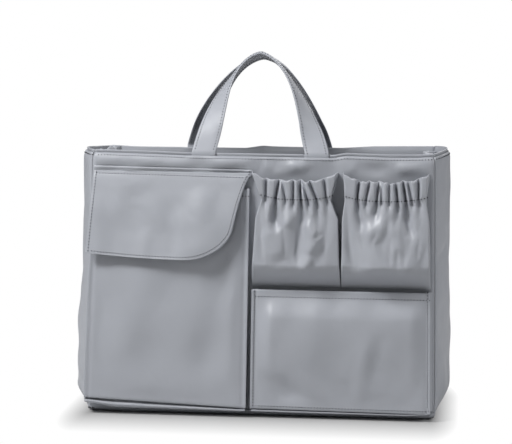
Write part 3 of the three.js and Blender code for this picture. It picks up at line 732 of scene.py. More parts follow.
# %% Sew the bellows pockets
PANEL_GRIDS = {"large_pocket": (84, 100), "lower_pocket": (94, 66)}
panels = {}
for name, (columns, rows) in PANEL_GRIDS.items():
    pocket = POCKETS[name]
    panels[name] = panel_grid(name, 0, columns, rows)
    sew(f"{name}_panel_cloth", panels[name], SHELL, "shell_cloth", [f"{name}_front"], body=name)
    hem = panel_grid(name, -(SHELL + GAP), columns, 8, pocket["mouth"] - HEM_HEIGHT,
                     GUSSET_PLEAT + SHELL + GAP)
    sew(f"{name}_hem_cloth", hem, SHELL, "shell_cloth", [f"{name}_hem"], on=[f"{name}_panel_cloth"],
        body=name)
    wall_y, panel_y = -(HALF_DEPTH + GAP) * MM, -(HALF_DEPTH + pocket["top_depth"] - 1) * MM
    bend = ("organizer_body", name, (0, wall_y, 0.1), (0, panel_y, 0.1))
    for side in ("left", "right"):
        sew(f"{name}_{side}_gusset_cloth", side_gusset(name, side), SHELL, "shell_cloth",
            [f"{name}_{side}_gusset"], held="folded", bend=bend)
    sew(f"{name}_bottom_gusset_cloth", bottom_gusset(name), SHELL, "shell_cloth", [f"{name}_bottom_gusset"],
        held="folded")
print("pocket panels:", [flat_sizes[f"{name}_panel_cloth"] for name in POCKETS], "mm")

# %% [markdown]
# ## The flap
# The flap is two plies turned over a seam at the wall and topstitched, so it folds down over the pocket's
# mouth and swings on that seam. Its left corner is square and its right corner is cut in a wide curve. The
# lining is the shell's grid moved in by a ply along its normals, so the two can't cross.

# %% Measures and profile of the flap
FLAP_DROP, FLAP_LEFT_LIFT, FLAP_OVERHANG, FLAP_FLARE, FLAP_TAPER, TAPER_POWER = 88, 5, 2, 6, 24, 0.6
CORNER_START, CORNER_WIDTH, FLAP_START, FLAP_REACH, FLAP_EASE, FLAP_CURL = 55, 45, -2.0, 16, 0.66, 4.2
TAPE, CLOSURE_WIDTH, CLOSURE_HEIGHT, CLOSURE_RISE = 1.0, 60, 20, 9
HINGE_OUT = 0.6 + LINING + GAP + SHELL / 2
CLOSURE_LOW = FLAP_HINGE - FLAP_DROP + CLOSURE_RISE
FLAP_LEFT, FLAP_RIGHT = -float(outer_seam(FLAP_HINGE)), LARGE_RIGHT + FLAP_OVERHANG
FLAP_FOLDS = ((-52, 8, -67, 38, 15, 1.8), (-67, 38, -61, 84, 15, 1.6), (-96, 34, -88, 80, 9, -1.2),
              (-128, 6, -134, 46, 14, -1.2), (-118, 60, -124, 92, 8, 0.9), (-172, 30, -168, 88, 8, 0.8))


def flap_right_edge(drop):
    """Where the flap's right edge lies, a drop below the hinge."""
    corner = np.clip((drop - CORNER_START) / (FLAP_DROP - CORNER_START), 0, 1)
    taper = FLAP_TAPER * (np.maximum(drop, 0) / FLAP_DROP) ** TAPER_POWER
    return FLAP_RIGHT - taper - CORNER_WIDTH * (1 - np.sqrt(1 - corner ** 2))


def flap_out(x, drop):
    """How far the flap stands off the wall: steep over the mouth, easy below, its right edge curling out."""
    soft = (1.2 * folds(x, drop, FLAP_FOLDS) + 0.8 * waves(x, drop, 80, 70, 61)) * smooth(8, 26, drop)
    curl = FLAP_CURL * smooth(-110, 10, x - flap_right_edge(drop)) * smooth(8, 45, drop)
    return HINGE_OUT + FLAP_REACH * (np.maximum(drop, 0) / FLAP_DROP) ** FLAP_EASE + soft + curl


def flap_grid(edge, inset, columns=90, rows=80):
    """A grid on the flap, edge millimetres inside its outline and inset behind the shell's middle."""
    share = np.linspace(0, 1, columns)[None, :]
    fall = np.sin(np.linspace(0, 1, rows) * math.pi / 2)[:, None]
    full = FLAP_START + (FLAP_DROP - FLAP_START) * fall
    drop = full - (edge + FLAP_LEFT_LIFT * (1 - share) ** 2) * smooth(22, FLAP_DROP, full)
    left = FLAP_LEFT - FLAP_FLARE * np.maximum(full, 0) / FLAP_DROP + edge
    right = flap_right_edge(full) - edge
    x = left + (right - left) * share
    grid = points(x, -(HALF_DEPTH + flap_out(x, drop)), FLAP_HINGE - drop)[::-1]
    return grid - inset * normals(grid)


print("the flap's edge stands", round(float(flap_out(-100.0, FLAP_DROP)), 1), "mm off the wall")

# %% Sew the flap
FLAP_INNER, LINING_EDGE, HINGE_Y = SHELL / 2 + GAP / 2 + LINING / 2, 1.2, -70
bends = {"pocket_flap": ("organizer_body", "pocket_flap", (0, HINGE_Y * MM, (FLAP_HINGE + 0.6) * MM),
                         (0, HINGE_Y * MM, (FLAP_HINGE - 4) * MM))}
flap_shell = flap_grid(0, 0)
sew("flap_shell_cloth", flap_shell, SHELL, "shell_cloth", ["flap_shell"], held="hung",
    bend=bends["pocket_flap"])
sew("flap_lining_cloth", flap_grid(LINING_EDGE, FLAP_INNER), LINING, "lining_cloth", ["flap_lining"],
    held="hung", bend=bends["pocket_flap"])
print("flap cut:", flat_sizes["flap_shell_cloth"], "mm")

# %% Sew the closure tapes and the seam band
BAND_HEIGHT, BAND_SLOPE, HINGE_PLAY = 4.8, -1.8, 2.5


def tape_grid(on_flap, columns=40, rows=16):
    """A grid for a strip of closure tape, on the flap's lining or on the pocket."""
    middle = (FLAP_LEFT + float(flap_right_edge(FLAP_DROP))) / 2
    x, z = lay_out(np.linspace(middle - CLOSURE_WIDTH / 2, middle + CLOSURE_WIDTH / 2, columns),
                   np.linspace(CLOSURE_LOW, CLOSURE_LOW + CLOSURE_HEIGHT, rows))
    if on_flap:
        out = flap_out(x, FLAP_HINGE - z) - (FLAP_INNER + LINING / 2 + GAP / 2 + TAPE / 2)
    else:
        stack = SHELL / 2 + GAP / 2 + TAPE / 2
        out = panel_out(POCKETS["large_pocket"], x, z, stack) + large_swell(x, z)
    return points(x, -(HALF_DEPTH + out), z)


sew("flap_hook_tape_strip", tape_grid(True), TAPE, "closure_tape", ["flap_hook_tape"],
    on=["flap_lining_cloth"], body="pocket_flap")
sew("pocket_loop_tape_strip", tape_grid(False), TAPE, "closure_tape", ["large_pocket_loop_tape"],
    on=["large_pocket_panel_cloth"], body="large_pocket")
x, up = lay_out(np.linspace(FLAP_LEFT, FLAP_RIGHT, 90), np.linspace(0, 1, 12))
slope = BAND_SLOPE * (x - FLAP_LEFT) / (FLAP_RIGHT - FLAP_LEFT)
band_out = 0.3 + SHELL * (1 - 0.6 * up) + 0.8 * np.sin(math.pi * up ** 1.6) + front_dents(x, 255 + 4 * up)
band = points(x, -(HALF_DEPTH + band_out), FLAP_HINGE + HINGE_PLAY + slope * up + BAND_HEIGHT * up)
sew("flap_seam_band_cloth", band, SHELL * (1.3 - 0.9 * up), "shell_cloth", ["flap_seam_band"])
print("tapes:", flat_sizes["flap_hook_tape_strip"], "mm, band:", flat_sizes["flap_seam_band_cloth"], "mm")

# %% [markdown]
# ## Gathered pockets
# A gathered pocket is a wide strip of cloth sewn to the wall at its sides and foot. An elastic in the casing
# at its mouth draws it together, so deep pleats stand in the casing and run out into the cloth below as folds
# of different lengths. The pleats are valleys with a bell-shaped section that widen and fade below the
# elastic. The cloth then turns over the casing's top and down behind the elastic, as a sewn casing does. Only
# the loose cloth under the casing is left to a simulation, since the sewn pleats have their places.

# %% Pleats and the gathered casing
HEADER_HEIGHT, FRONT_SHARE, POUCH_CROWN = 18, 0.84, 4.0
POUCH_TURN, TURN_POWER, POUCH_TOP = 0.27, 1.45, 3
CASING_GAP, FOLD_ROWS, HEAD_ROWS, BODY_ROWS = 2.3, 5, 22, 90
ELASTIC_PLY, ELASTIC_HALF, ELASTIC_REACH = 0.7, 4, 0.9
VALLEY_WIDTH, VALLEY_SPREAD, FRILL = 1.6, 0.17, 0.02


def pleats(x, below, valleys):
    """Depth of the gathers at x from the pocket's middle and a distance below the elastic."""
    total = np.zeros(np.broadcast(x, below).shape)
    under, over = np.maximum(below, 0), np.maximum(-below, 0)
    width = VALLEY_WIDTH + VALLEY_SPREAD * under + FRILL * over
    frill = 1 + FRILL * over
    for at, depth, length, lean, tip in valleys:
        line = at + lean * under + tip * over
        total -= depth * frill * np.exp(-(under / length) ** 1.5) * np.exp(-((x - line) / width) ** 2)
    return total


def front_and_side(s):
    """How far s lies across the front, and how far across the side, as shares."""
    a = np.abs(s)
    return np.minimum(a / FRONT_SHARE, 1), np.clip((a - FRONT_SHARE) / (1 - FRONT_SHARE), 0, 1)


def pouch_section(pocket, s, z, crowned):
    """Across a pouch: x from its middle, its share of the full stand, 1 in front and 0 at the wall, and its
    crown."""
    front, side = front_and_side(s)
    x = pocket["face"](z) * front + (pocket["half"](z) - pocket["face"](z)) * side
    return np.sign(s) * x, 1 - side, POUCH_CROWN * (1 - front ** 2.5) * crowned


def mouth_line(pocket, s):
    """Height of the stitch row under the casing."""
    sag = 1 - np.minimum(np.abs(s), FRONT_SHARE) ** 2.6
    return pocket["top"] - HEADER_HEIGHT - pocket["droop"] * sag


def casing_stand(pocket, s, z, behind=0.0):
    """How far the gathered casing stands off the wall."""
    x, share, crown = pouch_section(pocket, s, z, 1.0)
    line = mouth_line(pocket, s)
    gather = pleats(x, line - z, pocket["valleys"]) + 1.4 * smooth(-6, 6, z - line)
    stand = pocket["head_stand"] * share ** 0.8 + 0.6 * crown
    return x, np.maximum(stand + gather * smooth(0.1, 0.6, share) - behind * smooth(0, 0.3, share), 0)


print("2 mm beside a valley of 4 mm:", round(float(pleats(2.0, 0.0, [(0, 4, 20, 0, 0)])), 2), "mm")

# %% Grids of a pouch and its elastic
def pouch_body(pocket, s, line):
    """The cloth from the pocket's foot up to its casing: x, height and stand."""
    rise = np.linspace(0, 1, BODY_ROWS)[:, None] ** 1.1
    z = pocket["sill"] + (line - pocket["sill"]) * rise
    x, share, crown = pouch_section(pocket, s, z, smooth(0, 0.3, rise))
    belly = pocket["belly"] * (1 - (1 - np.clip(rise / POUCH_TURN, 0, 1)) ** TURN_POWER) * share + crown
    inside = smooth(0.3, 1, share) * (1 - front_and_side(s)[0] ** 6)
    soft = pocket["swell"](x, z) * smooth(2, 26, z - pocket["sill"]) * smooth(0, 20, line - z) * inside
    head = casing_stand(pocket, s, z)[1]
    stand = belly + soft + pleats(x, line - z, pocket["valleys"]) * smooth(0.1, 0.6, share)
    late, later = rise ** POUCH_TOP, rise ** (3 * POUCH_TOP)
    drawn_in = (pocket["head_stand"] - pocket["belly"]) * (late - later) * share
    return x, z, stand + (head - stand) * later + drawn_in


def pouch_grid(pocket, columns=181):
    """A grid from the pocket's foot up to its mouth and, folded over, down behind the elastic."""
    s = np.linspace(-1, 1, columns)[None, :]
    line = mouth_line(pocket, s)
    up = np.linspace(0, 1, HEAD_ROWS)[1:, None]
    wavy = 1.3 * waves(s * 45, up * 0, 11, 11, pocket["seed"]) * (1 - s ** 8)
    head_z = line + (HEADER_HEIGHT + pocket["flare"] * np.abs(s) ** 3) * up + wavy * up ** 2
    top = head_z[-1:]
    turn = np.linspace(0, math.pi, FOLD_ROWS)[1:, None]
    turned = CASING_GAP / 2 * (1 - np.cos(turn))
    back_z = top - (HEADER_HEIGHT + 1.5) * up
    layers = [pouch_body(pocket, s, line)]
    turn_z = top + CASING_GAP / 2 * np.sin(turn)
    casing = (head_z, head_z, 0.0), (turn_z, top + 0 * turn, turned), (back_z, back_z, CASING_GAP)
    for z, at, behind in casing:
        x, stand = casing_stand(pocket, s, at, behind)
        layers.append((x, z, stand))
    x, z, stand = (np.concatenate([np.broadcast_to(layer[k], (len(layer[1]), columns)) for layer in layers])
                   for k in range(3))
    return pocket["seat"](x, z, np.maximum(stand, 0) + GAP + SHELL / 2)


def elastic_grid(pocket, columns=90):
    """The elastic inside the casing, between its front and back."""
    s = np.linspace(-ELASTIC_REACH, ELASTIC_REACH, columns)[None, :]
    z = mouth_line(pocket, s) + HEADER_HEIGHT / 2 + np.linspace(-ELASTIC_HALF, ELASTIC_HALF, 8)[:, None]
    x, stand = casing_stand(pocket, s, z, CASING_GAP / 2)
    return pocket["seat"](x, z, stand + GAP + SHELL / 2)


print("rows of a pouch below its casing:", BODY_ROWS)

# %% Measures of the gathered pockets
BOTTLE_LANE, BOTTLE_TOP, BOTTLE_SILL = 2, BODY_HEIGHT - 20, 136.5
BOTTLE_LEVELS = BOTTLE_SILL, BOTTLE_TOP - 45, BOTTLE_TOP - 25, BOTTLE_TOP
FOOT_HALF = 46  # half width of a pouch's front at its foot
BOTTLE_WIDTH = (outer_seam(BODY_HEIGHT) - BLOCK_LEFT - BOTTLE_LANE) / 2
END_FRONT, END_BACK, END_TOP = -24, 54, BODY_HEIGHT - 1


def bottle_pocket(left, halves, asides, valleys, swell, seed):
    """A bottle pocket's measures: its left seam, its half widths above the sill, its shifts aside."""
    shoulder, neck, mouth = halves

    def half(z):
        return np.interp(z, BOTTLE_LEVELS, (BOTTLE_WIDTH / 2, *halves))

    def face(z):
        return np.interp(z, BOTTLE_LEVELS, (FOOT_HALF, shoulder + 0.5, neck + 0.6, mouth - 2))

    def seat(x, z, stand):
        aside = np.interp(z, BOTTLE_LEVELS, asides)
        return points(left + BOTTLE_WIDTH / 2 + x + aside, -(HALF_DEPTH + stand), z)

    return {"sill": BOTTLE_SILL, "top": BOTTLE_TOP, "droop": 7, "flare": 4, "head_stand": 18, "belly": 21,
            "half": half, "face": face, "seat": seat, "valleys": valleys, "swell": swell, "seed": seed}


def end_pocket(side, valleys, seed):
    """The measures of a gathered pocket on the lining of an end wall."""
    def half(z):
        return (END_BACK - END_FRONT) / 2 + 0 * z

    def face(z):
        return half(z) - 2

    def seat(x, z, stand):
        y = (END_FRONT + END_BACK) / 2 + x
        wall = half_width(z) - LINER_FACE - FACING + end_bow(side, y, z) + end_dents(side, y, z)
        return points(side * (wall - stand), y, z)

    def swell(x, z):
        return 1.5 * waves(x, z, 60, 70, seed)

    return {"sill": 130, "top": END_TOP, "droop": 3, "flare": 0, "head_stand": 13, "belly": 19,
            "half": half, "face": face, "seat": seat, "valleys": valleys, "swell": swell, "seed": seed}


print("bottle pockets are", BOTTLE_WIDTH, "mm between their seams")

# %% The four gathered pockets
LEFT_FOLDS = ((-10, 203, -3, 217, 6, 3.2), (9, 205, 21, 193, 5.5, 4.2), (23, 191, 13, 174, 6, 4.2),
              (16, 171, 8, 155, 6, 3.6), (4, 214, -2, 168, 9, -4.6), (-32, 198, -18, 170, 13, 4.6),
              (-24, 226, -21, 200, 6, -4.4), (32, 214, 34, 170, 7, -2.6))
RIGHT_FOLDS = ((-21, 192, 0, 209, 8, 4.2), (-28, 204, -8, 220, 7, -2.4), (-26, 163, 32, 163, 16, 5.0),
               (8, 204, 12, 176, 12, 3.4), (21, 224, 27, 196, 7, -4.2), (36, 205, 36, 165, 7, -2.2))
# A valley has its place, depth and length, its lean below the elastic and its tip above.
LEFT_VALLEYS = ((-31, 5, 14, -0.2, 0.1), (-21, 8, 34, -0.06, 0.25), (-11, 4, 10, 0, -0.1),
                (-3, 5, 12, 0, 0.1), (5, 8, 30, 0.05, 0), (12, 6, 14, 0.1, -0.25), (21, 7, 22, 0.12, -0.3),
                (31, 5, 16, 0.2, 0))
RIGHT_VALLEYS = ((-29, 7, 34, 0.12, 0.1), (-20, 5, 12, 0, 0.2), (-9, 6.5, 20, -0.06, 0.1),
                 (-4, 4.5, 10, 0, 0), (4, 4, 8, 0, 0), (12.5, 7, 22, 0.03, -0.1), (21, 8, 32, 0.08, -0.15),
                 (27, 5, 12, 0.12, -0.2), (34, 5, 16, 0.2, 0))
END_VALLEYS = [(at, 2.6 + 1.8 * (n % 3) / 2, 10 + 9 * (n % 4), 0.05 * (n % 3 - 1), 0.1 * (n % 2))
               for n, at in enumerate((-33, -27, -20, -12, -6, 2, 8, 15, 22, 27, 33))]


def left_swell(x, z):
    """Folds in the loose cloth of the left bottle pocket."""
    return folds(x, z, LEFT_FOLDS) + waves(x, z, 45, 50, 71)


def right_swell(x, z):
    """Folds in the loose cloth of the right bottle pocket."""
    return folds(x, z, RIGHT_FOLDS) + waves(x, z, 46, 50, 73)


RIGHT_BOTTLE_LEFT = BLOCK_LEFT + BOTTLE_WIDTH + BOTTLE_LANE
GATHERED = {
    "left_bottle_pocket": bottle_pocket(
        BLOCK_LEFT, (42, 34.8, 44.5), (0, 0.4, -0.4, -3), LEFT_VALLEYS, left_swell, 75),
    "right_bottle_pocket": bottle_pocket(
        RIGHT_BOTTLE_LEFT, (44, 41, 44.5), (0, -1.3, -1.6, -2), RIGHT_VALLEYS, right_swell, 76),
    "left_end_pocket": end_pocket(-1, END_VALLEYS, 77),
    "right_end_pocket": end_pocket(1, END_VALLEYS, 78),
}
print("gathered pockets:", list(GATHERED))

# %% [markdown]
# The pleats in the casing are sewn, but the cloth under them is loose: it is cut wider than the pocket, so it
# has to buckle. A short cloth simulation finds those folds. The cut is the rest shape, the seams and the
# casing row are pinned, and a little pressure stands for the air that keeps the pocket open. It runs at ten
# times the real size, where the solver is steadier, and every point goes back to its place in the grid.

# %% A cloth simulation
SIM_SCALE, SIM_FRAMES = 10.0, 26


def settle(name, grid, cut, pins):
    """A grid after a cloth simulation. cut has the points' places in the flat cut, pins how they are held."""
    rows, columns = grid.shape[:2]
    mesh = bpy.data.meshes.new(name)
    mesh.from_pydata((grid.reshape(-1, 3) * MM * SIM_SCALE).tolist(), [], quads(rows, columns).tolist())
    slack = add_object(name, mesh)
    slack.shape_key_add(name="Basis")
    rest = slack.shape_key_add(name="cut")
    rest.data.foreach_set("co", (cut * MM * SIM_SCALE).ravel())
    sewn_down = slack.vertex_groups.new(name="sewn_down")
    for spot, weight in enumerate(pins.ravel()):
        sewn_down.add([spot], float(weight), "REPLACE")
    cloth = slack.modifiers.new("cloth", "CLOTH")
    given = cloth.settings
    given.quality, given.mass, given.air_damping = 7, 0.3, 2.0
    given.tension_stiffness, given.compression_stiffness, given.shear_stiffness = 30, 30, 8
    given.bending_stiffness, given.bending_damping = 4.0, 1.0
    given.rest_shape_key, given.vertex_group_mass = rest, sewn_down.name
    given.use_pressure, given.uniform_pressure_force = True, 0.8
    given.effector_weights.gravity = 0.3
    cloth.collision_settings.use_collision = False
    cloth.point_cache.frame_start, cloth.point_cache.frame_end = 1, SIM_FRAMES
    for step in range(1, SIM_FRAMES + 1):
        scene.frame_set(step)
    settled = slack.evaluated_get(bpy.context.evaluated_depsgraph_get())
    flat = np.empty(rows * columns * 3)
    settled.data.vertices.foreach_get("co", flat)
    scene.frame_set(1)
    bpy.data.objects.remove(slack)
    return flat.reshape(rows, columns, 3) / MM / SIM_SCALE


print("loose cloth settles for", SIM_FRAMES, "frames, unless the run is quick")

# %% Let a pouch settle
LOOSE_SHARE = 0.7  # how much of the simulated move is kept
CUT_TAPER, CUT_SIDE = 3.5, 0.9


def settled_pouch(name, pocket):
    """The pouch's grid with its loose part settled under the casing row, worked out on every second line."""
    grid = pouch_grid(pocket)
    loose = grid[:BODY_ROWS:2, ::2]
    s = np.linspace(-1, 1, loose.shape[1])[None, :]
    rise = np.linspace(0, 1, loose.shape[0])[:, None]
    front, side = front_and_side(s)
    across = np.sign(s) * ((FOOT_HALF - CUT_TAPER * rise) * front + pocket["belly"] * CUT_SIDE * side)
    upward = run(loose, 0)[:, loose.shape[1] // 2][:, None]
    cut = points(across, 0 * across, upward + 0 * across)
    pins = np.zeros(loose.shape[:2])
    pins[0], pins[-1], pins[:, 0], pins[:, -1] = 1, 1, 1, 1
    moved = settle(name + "_slack", loose, cut, pins) - loose
    calm_sides = 1 - 0.6 * np.exp(-((np.abs(s) - FRONT_SHARE) / 0.08) ** 2)
    moved = moved * (LOOSE_SHARE * smooth(0.12, 0.5, rise) * calm_sides)[:, :, None]
    columns, rows = lay_out(np.linspace(0, 1, grid.shape[1]), np.linspace(0, 1, BODY_ROWS))
    grid[:BODY_ROWS] += on_grid(moved, rows.ravel(), columns.ravel()).reshape(BODY_ROWS, -1, 3)
    return grid


print("of the settled folds", LOOSE_SHARE, "is kept")

# %% Sew the gathered pockets
pouches = {}
for name, pocket in GATHERED.items():
    where, wall = {}, name.replace("pocket", "lining_cloth")
    if "bottle" in name:
        bends[name] = ("organizer_body", name, (0, -(HALF_DEPTH + 1) * MM, 0.2),
                       (0, -(HALF_DEPTH + 10) * MM, 0.2))
        where, wall = {"bend": bends[name]}, "front_shell_cloth"
    loose = "bottle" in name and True
    pouches[name] = settled_pouch(name, pocket) if loose else pouch_grid(pocket)
    sew(f"{name}_pouch_cloth", pouches[name], SHELL, "shell_cloth", [f"{name}_pouch", f"{name}_header"],
        held="gathered", on=[wall], **where)
    sew(f"{name}_elastic_band", elastic_grid(pocket), ELASTIC_PLY, "elastic", [f"{name}_elastic"],
        held="gathered", on=[f"{name}_pouch_cloth"], **where)
print("pouch cut:", flat_sizes["left_bottle_pocket_pouch_cloth"], "mm")

# %% [markdown]
# ## Straps
# A strap is one strip of cloth folded to 24 mm and stitched along both edges. It rises face on from between
# the shell and the facing, arches over, and turns edge on at its crown, where the two straps meet. The left
# half turns later than the right, and the crown's outer edge curls down, as the photograph shows. Its ends go
# down into the rim as tails. The strap is one mesh from tail to tail, baked where it stands. A bevelled curve
# would be quicker, but a grid can twist by its own rule and be thinner along its stitch rows.

# %% The line of a strap
STRAP_WIDTH, STRAP_PLY, ARCH_HEIGHT, CROWN_X, CROWN_CURL = 24, 1.6, 115, -7.5, 4.5
TWIST_LEFT, TWIST_RIGHT = 1.8, 1.0
ARCH_POWERS = 1.5, 3.2
HINGE_LIFT, FOOT_GAP, FOOT_SHARES = 0.6, 0.5, 8
STRAP_HINGE = BODY_HEIGHT + HINGE_LIFT
# A strap has its spread, its middle, the side it faces, and how level its crown lies across.
STRAPS = {"front": (118, -3, -1, 0.3), "back": (134, -15, 1, 1.0)}
STRAP_COLUMNS = 15


def strap_arch(spread, count):
    """Evenly spaced points of the arch in its own plane, and their tangents."""
    share = np.linspace(-1, 1, 801)
    fall = sum(np.abs(share) ** power for power in ARCH_POWERS) / len(ARCH_POWERS)
    arch = np.column_stack([spread / 2 * share, 0 * share, FOOT_GAP + ARCH_HEIGHT * (1 - fall)])
    line = evenly(arch, count)
    tangent = np.gradient(line, axis=0)
    return line, tangent / np.linalg.norm(tangent, axis=1, keepdims=True)


def leaned(vectors, angle):
    """Vectors turned about the x axis."""
    x, y, z = vectors.T
    return np.column_stack([x, y * np.cos(angle) - z * np.sin(angle), y * np.sin(angle) + z * np.cos(angle)])


print("the strap's crown stands", round(float(strap_arch(118, 201)[0][:, 2].max())), "mm above its hinge")

# %% Grid of a strap
def strap_grid(name, count=150, tail_rows=14):
    """A grid from one tail, round the loop, to the other tail."""
    spread, centre, facing, crown_level = STRAPS[name]
    line, tangent = strap_arch(spread, count)
    share = np.linspace(0, 1, count)[:, None]
    # The strip faces the wall at its feet and turns until it faces up at the crown.
    outward = np.column_stack([-tangent[:, 2], 0 * tangent[:, 0], tangent[:, 0]])
    turn = math.pi / 2 * np.sin(math.pi * share) ** np.where(share < 0.5, TWIST_LEFT, TWIST_RIGHT)
    normal = np.cos(turn) * np.array([0, facing, 0]) + np.sin(turn) * outward
    width = np.cross(normal, tangent) * -facing
    width /= np.linalg.norm(width, axis=1, keepdims=True)
    # Near its feet it stays flat against the wall.
    free = np.minimum(1, FOOT_SHARES * np.minimum(share, 1 - share))
    level = np.column_stack([np.sign(share - 0.5), 0 * share, 0 * share])
    width = level + (width - level) * free
    # The arch leans in from its feet until the crowns of both straps meet.
    tail_y = HALF_DEPTH - FOAM_INSET
    feet = centre - spread / 2, centre + spread / 2
    bow = [float(back_bow(np.array(foot), BODY_HEIGHT)) if facing > 0 else 0 for foot in feet]
    foot_y = facing * (tail_y + sum(bow) / 2)
    lean = math.asin((abs(foot_y) - STRAP_WIDTH / 2 - GAP) / ARCH_HEIGHT) * facing
    line = leaned(line, lean) + np.array([centre, foot_y, STRAP_HINGE])
    width = leaned(width, lean * (1 - crown_level * np.sin(math.pi * share[:, 0]) ** 2))
    line[:, :1] += (CROWN_X - centre) * np.sin(math.pi * share) ** 1.5
    # The tails go straight down into the rim.
    fall = np.linspace(STRAP_TAIL + HINGE_LIFT, 1.5, tail_rows)
    tails = []
    for side, foot, foot_bow in zip((-1, 1), feet, bow):
        tail = points(foot, facing * (tail_y + foot_bow), (STRAP_HINGE - fall)[:, None])[:, 0]
        tails.append((tail, np.tile([side, 0, 0], (tail_rows, 1))))
    line = np.concatenate([tails[0][0], line, tails[1][0][::-1]])
    width = np.concatenate([tails[0][1], width, tails[1][1][::-1]])
    across = np.linspace(-1, 1, STRAP_COLUMNS)[None, :, None]
    grid = line[:, None, :] + width[:, None, :] * across * STRAP_WIDTH / 2
    # The crown's outer edge curls down.
    outer = np.maximum(0, across[..., 0] * width[:, 1:2] * facing)
    curl = CROWN_CURL * (outer ** 2)[tail_rows:-tail_rows] * np.sin(math.pi * share) ** 4
    grid[tail_rows:-tail_rows, :, 2] -= curl
    return grid, foot_y


print("strap grid:", strap_grid("front")[0].shape)

# %% Sew the straps
across = np.abs(np.linspace(-1, 1, STRAP_COLUMNS))
# Full in the middle, and drawn in along the two stitch rows near its edges.
STRAP_SECTION = STRAP_PLY * (0.95 + 0.35 * (1 - across ** 2) - 0.35 * np.exp(-((across - 0.8) / 0.12) ** 2))
straps = {}
for name in STRAPS:
    handle = f"{name}_handle"
    straps[handle], foot_y = strap_grid(name)
    bends[handle] = ("organizer_body", handle, (0, foot_y * MM, (STRAP_HINGE - 2) * MM),
                     (0, foot_y * MM, (STRAP_HINGE + 5) * MM))
    nodes = [f"{name}_strap", f"{name}_strap_left_tail", f"{name}_strap_right_tail"]
    sew(f"{name}_strap_cloth", straps[handle], STRAP_SECTION[None, :], "strap_cloth", nodes, held="folded",
        on=[f"{name}_shell_cloth"], bend=bends[handle])
print("strap cut:", flat_sizes["front_strap_cloth"], "mm")

# %% [markdown]
# ## Thread
# Topstitching is what tells the eye that this is sewn cloth: thread in the cloth's colour, 3.2 mm a stitch,
# with a small dark bead of painted shade where the needle went in, standing for the hole in shadow. Each row
# follows a line on a cloth's own grid. A Geometry Nodes tree turns lines into stitches: it walks along the
# line at the stitch pitch and puts a slim bead of thread along it and a dark bead of painted shade after it.
# One mesh of stitches is made for each body.

# %% Lines on a cloth
stitch_lines = {}


def on_cloth(grid, rows, columns, lift):
    """Points on a grid at shares of its rows and columns, lifted off its middle along the normal."""
    return on_grid(grid + lift * normals(grid), rows, columns)


def stitch(group, line):
    """Adds a line of stitches, in millimetres, to a group that moves together."""
    stitch_lines.setdefault(group, []).append(np.asarray(line, float))


THREAD_SINK = 0.08  # a stitch is drawn into the cloth by this much
ON_SHELL, ON_STRAP = SHELL / 2 - THREAD_SINK, -0.6 * STRAP_PLY / 2
along = np.linspace(0, 1, 200)
print("stitches lie", ON_SHELL, "mm above a shell's middle")

# %% Rows of stitches
# A row's place is given in shares of its cloth's grid, so 0.991 is just under the top edge.
for shell in wall_shells.values():
    stitch("organizer_body", on_cloth(shell, 0.991, 0.01 + 0.98 * along, ON_SHELL))
edge = flap_grid(2.6, -ON_SHELL)
stitch("pocket_flap", np.concatenate([edge[::-1, 0], edge[0], edge[:, -1]]))
stitch("pocket_flap", on_cloth(flap_shell, 0.981 - 0.014 * along, 0.008 + 0.984 * along, ON_SHELL))
lower, large = panels["lower_pocket"], panels["large_pocket"]
stitch("lower_pocket", on_cloth(lower, 0.944, 0.012 + 0.976 * along, ON_SHELL))
stitch("lower_pocket", np.concatenate([on_cloth(lower, 0.995 - 0.97 * along, 0.014, ON_SHELL),
                                       on_cloth(lower, 0.022, along, ON_SHELL)[3:-3],
                                       on_cloth(lower, 0.025 + 0.97 * along, 0.986, ON_SHELL)]))
stitch("large_pocket", on_cloth(large, 0.966, 0.012 + 0.976 * along, ON_SHELL))
for name, grid in pouches.items():
    row = (BODY_ROWS - 1) / (grid.shape[0] - 1)
    group = name if name in bends else "organizer_body"
    stitch(group, on_cloth(grid, row, 0.02 + 0.96 * np.linspace(0, 1, 500), ON_SHELL))
for handle, grid in straps.items():
    for column in (0.1, 0.9):
        stitch(handle, on_cloth(grid, 0.085 + 0.83 * along, column, ON_STRAP))
print("rows of stitches:", {group: len(rows) for group, rows in stitch_lines.items()})

# %% Geometry Nodes tree for stitches
STITCH_SIZES = {"Pitch": 3.2, "Stitch length": 2.0, "Thread radius": 0.36, "Hole shade radius": 0.68}  # mm


def beads(tree, material, inputs):
    """Adds nodes that put beads on points, as a mesh of one material."""
    instances = add_node(tree, "GeometryNodeInstanceOnPoints", inputs)
    solid = add_node(tree, "GeometryNodeRealizeInstances", {0: instances})
    return add_node(tree, "GeometryNodeSetMaterial", {"Geometry": solid, "Material": material})


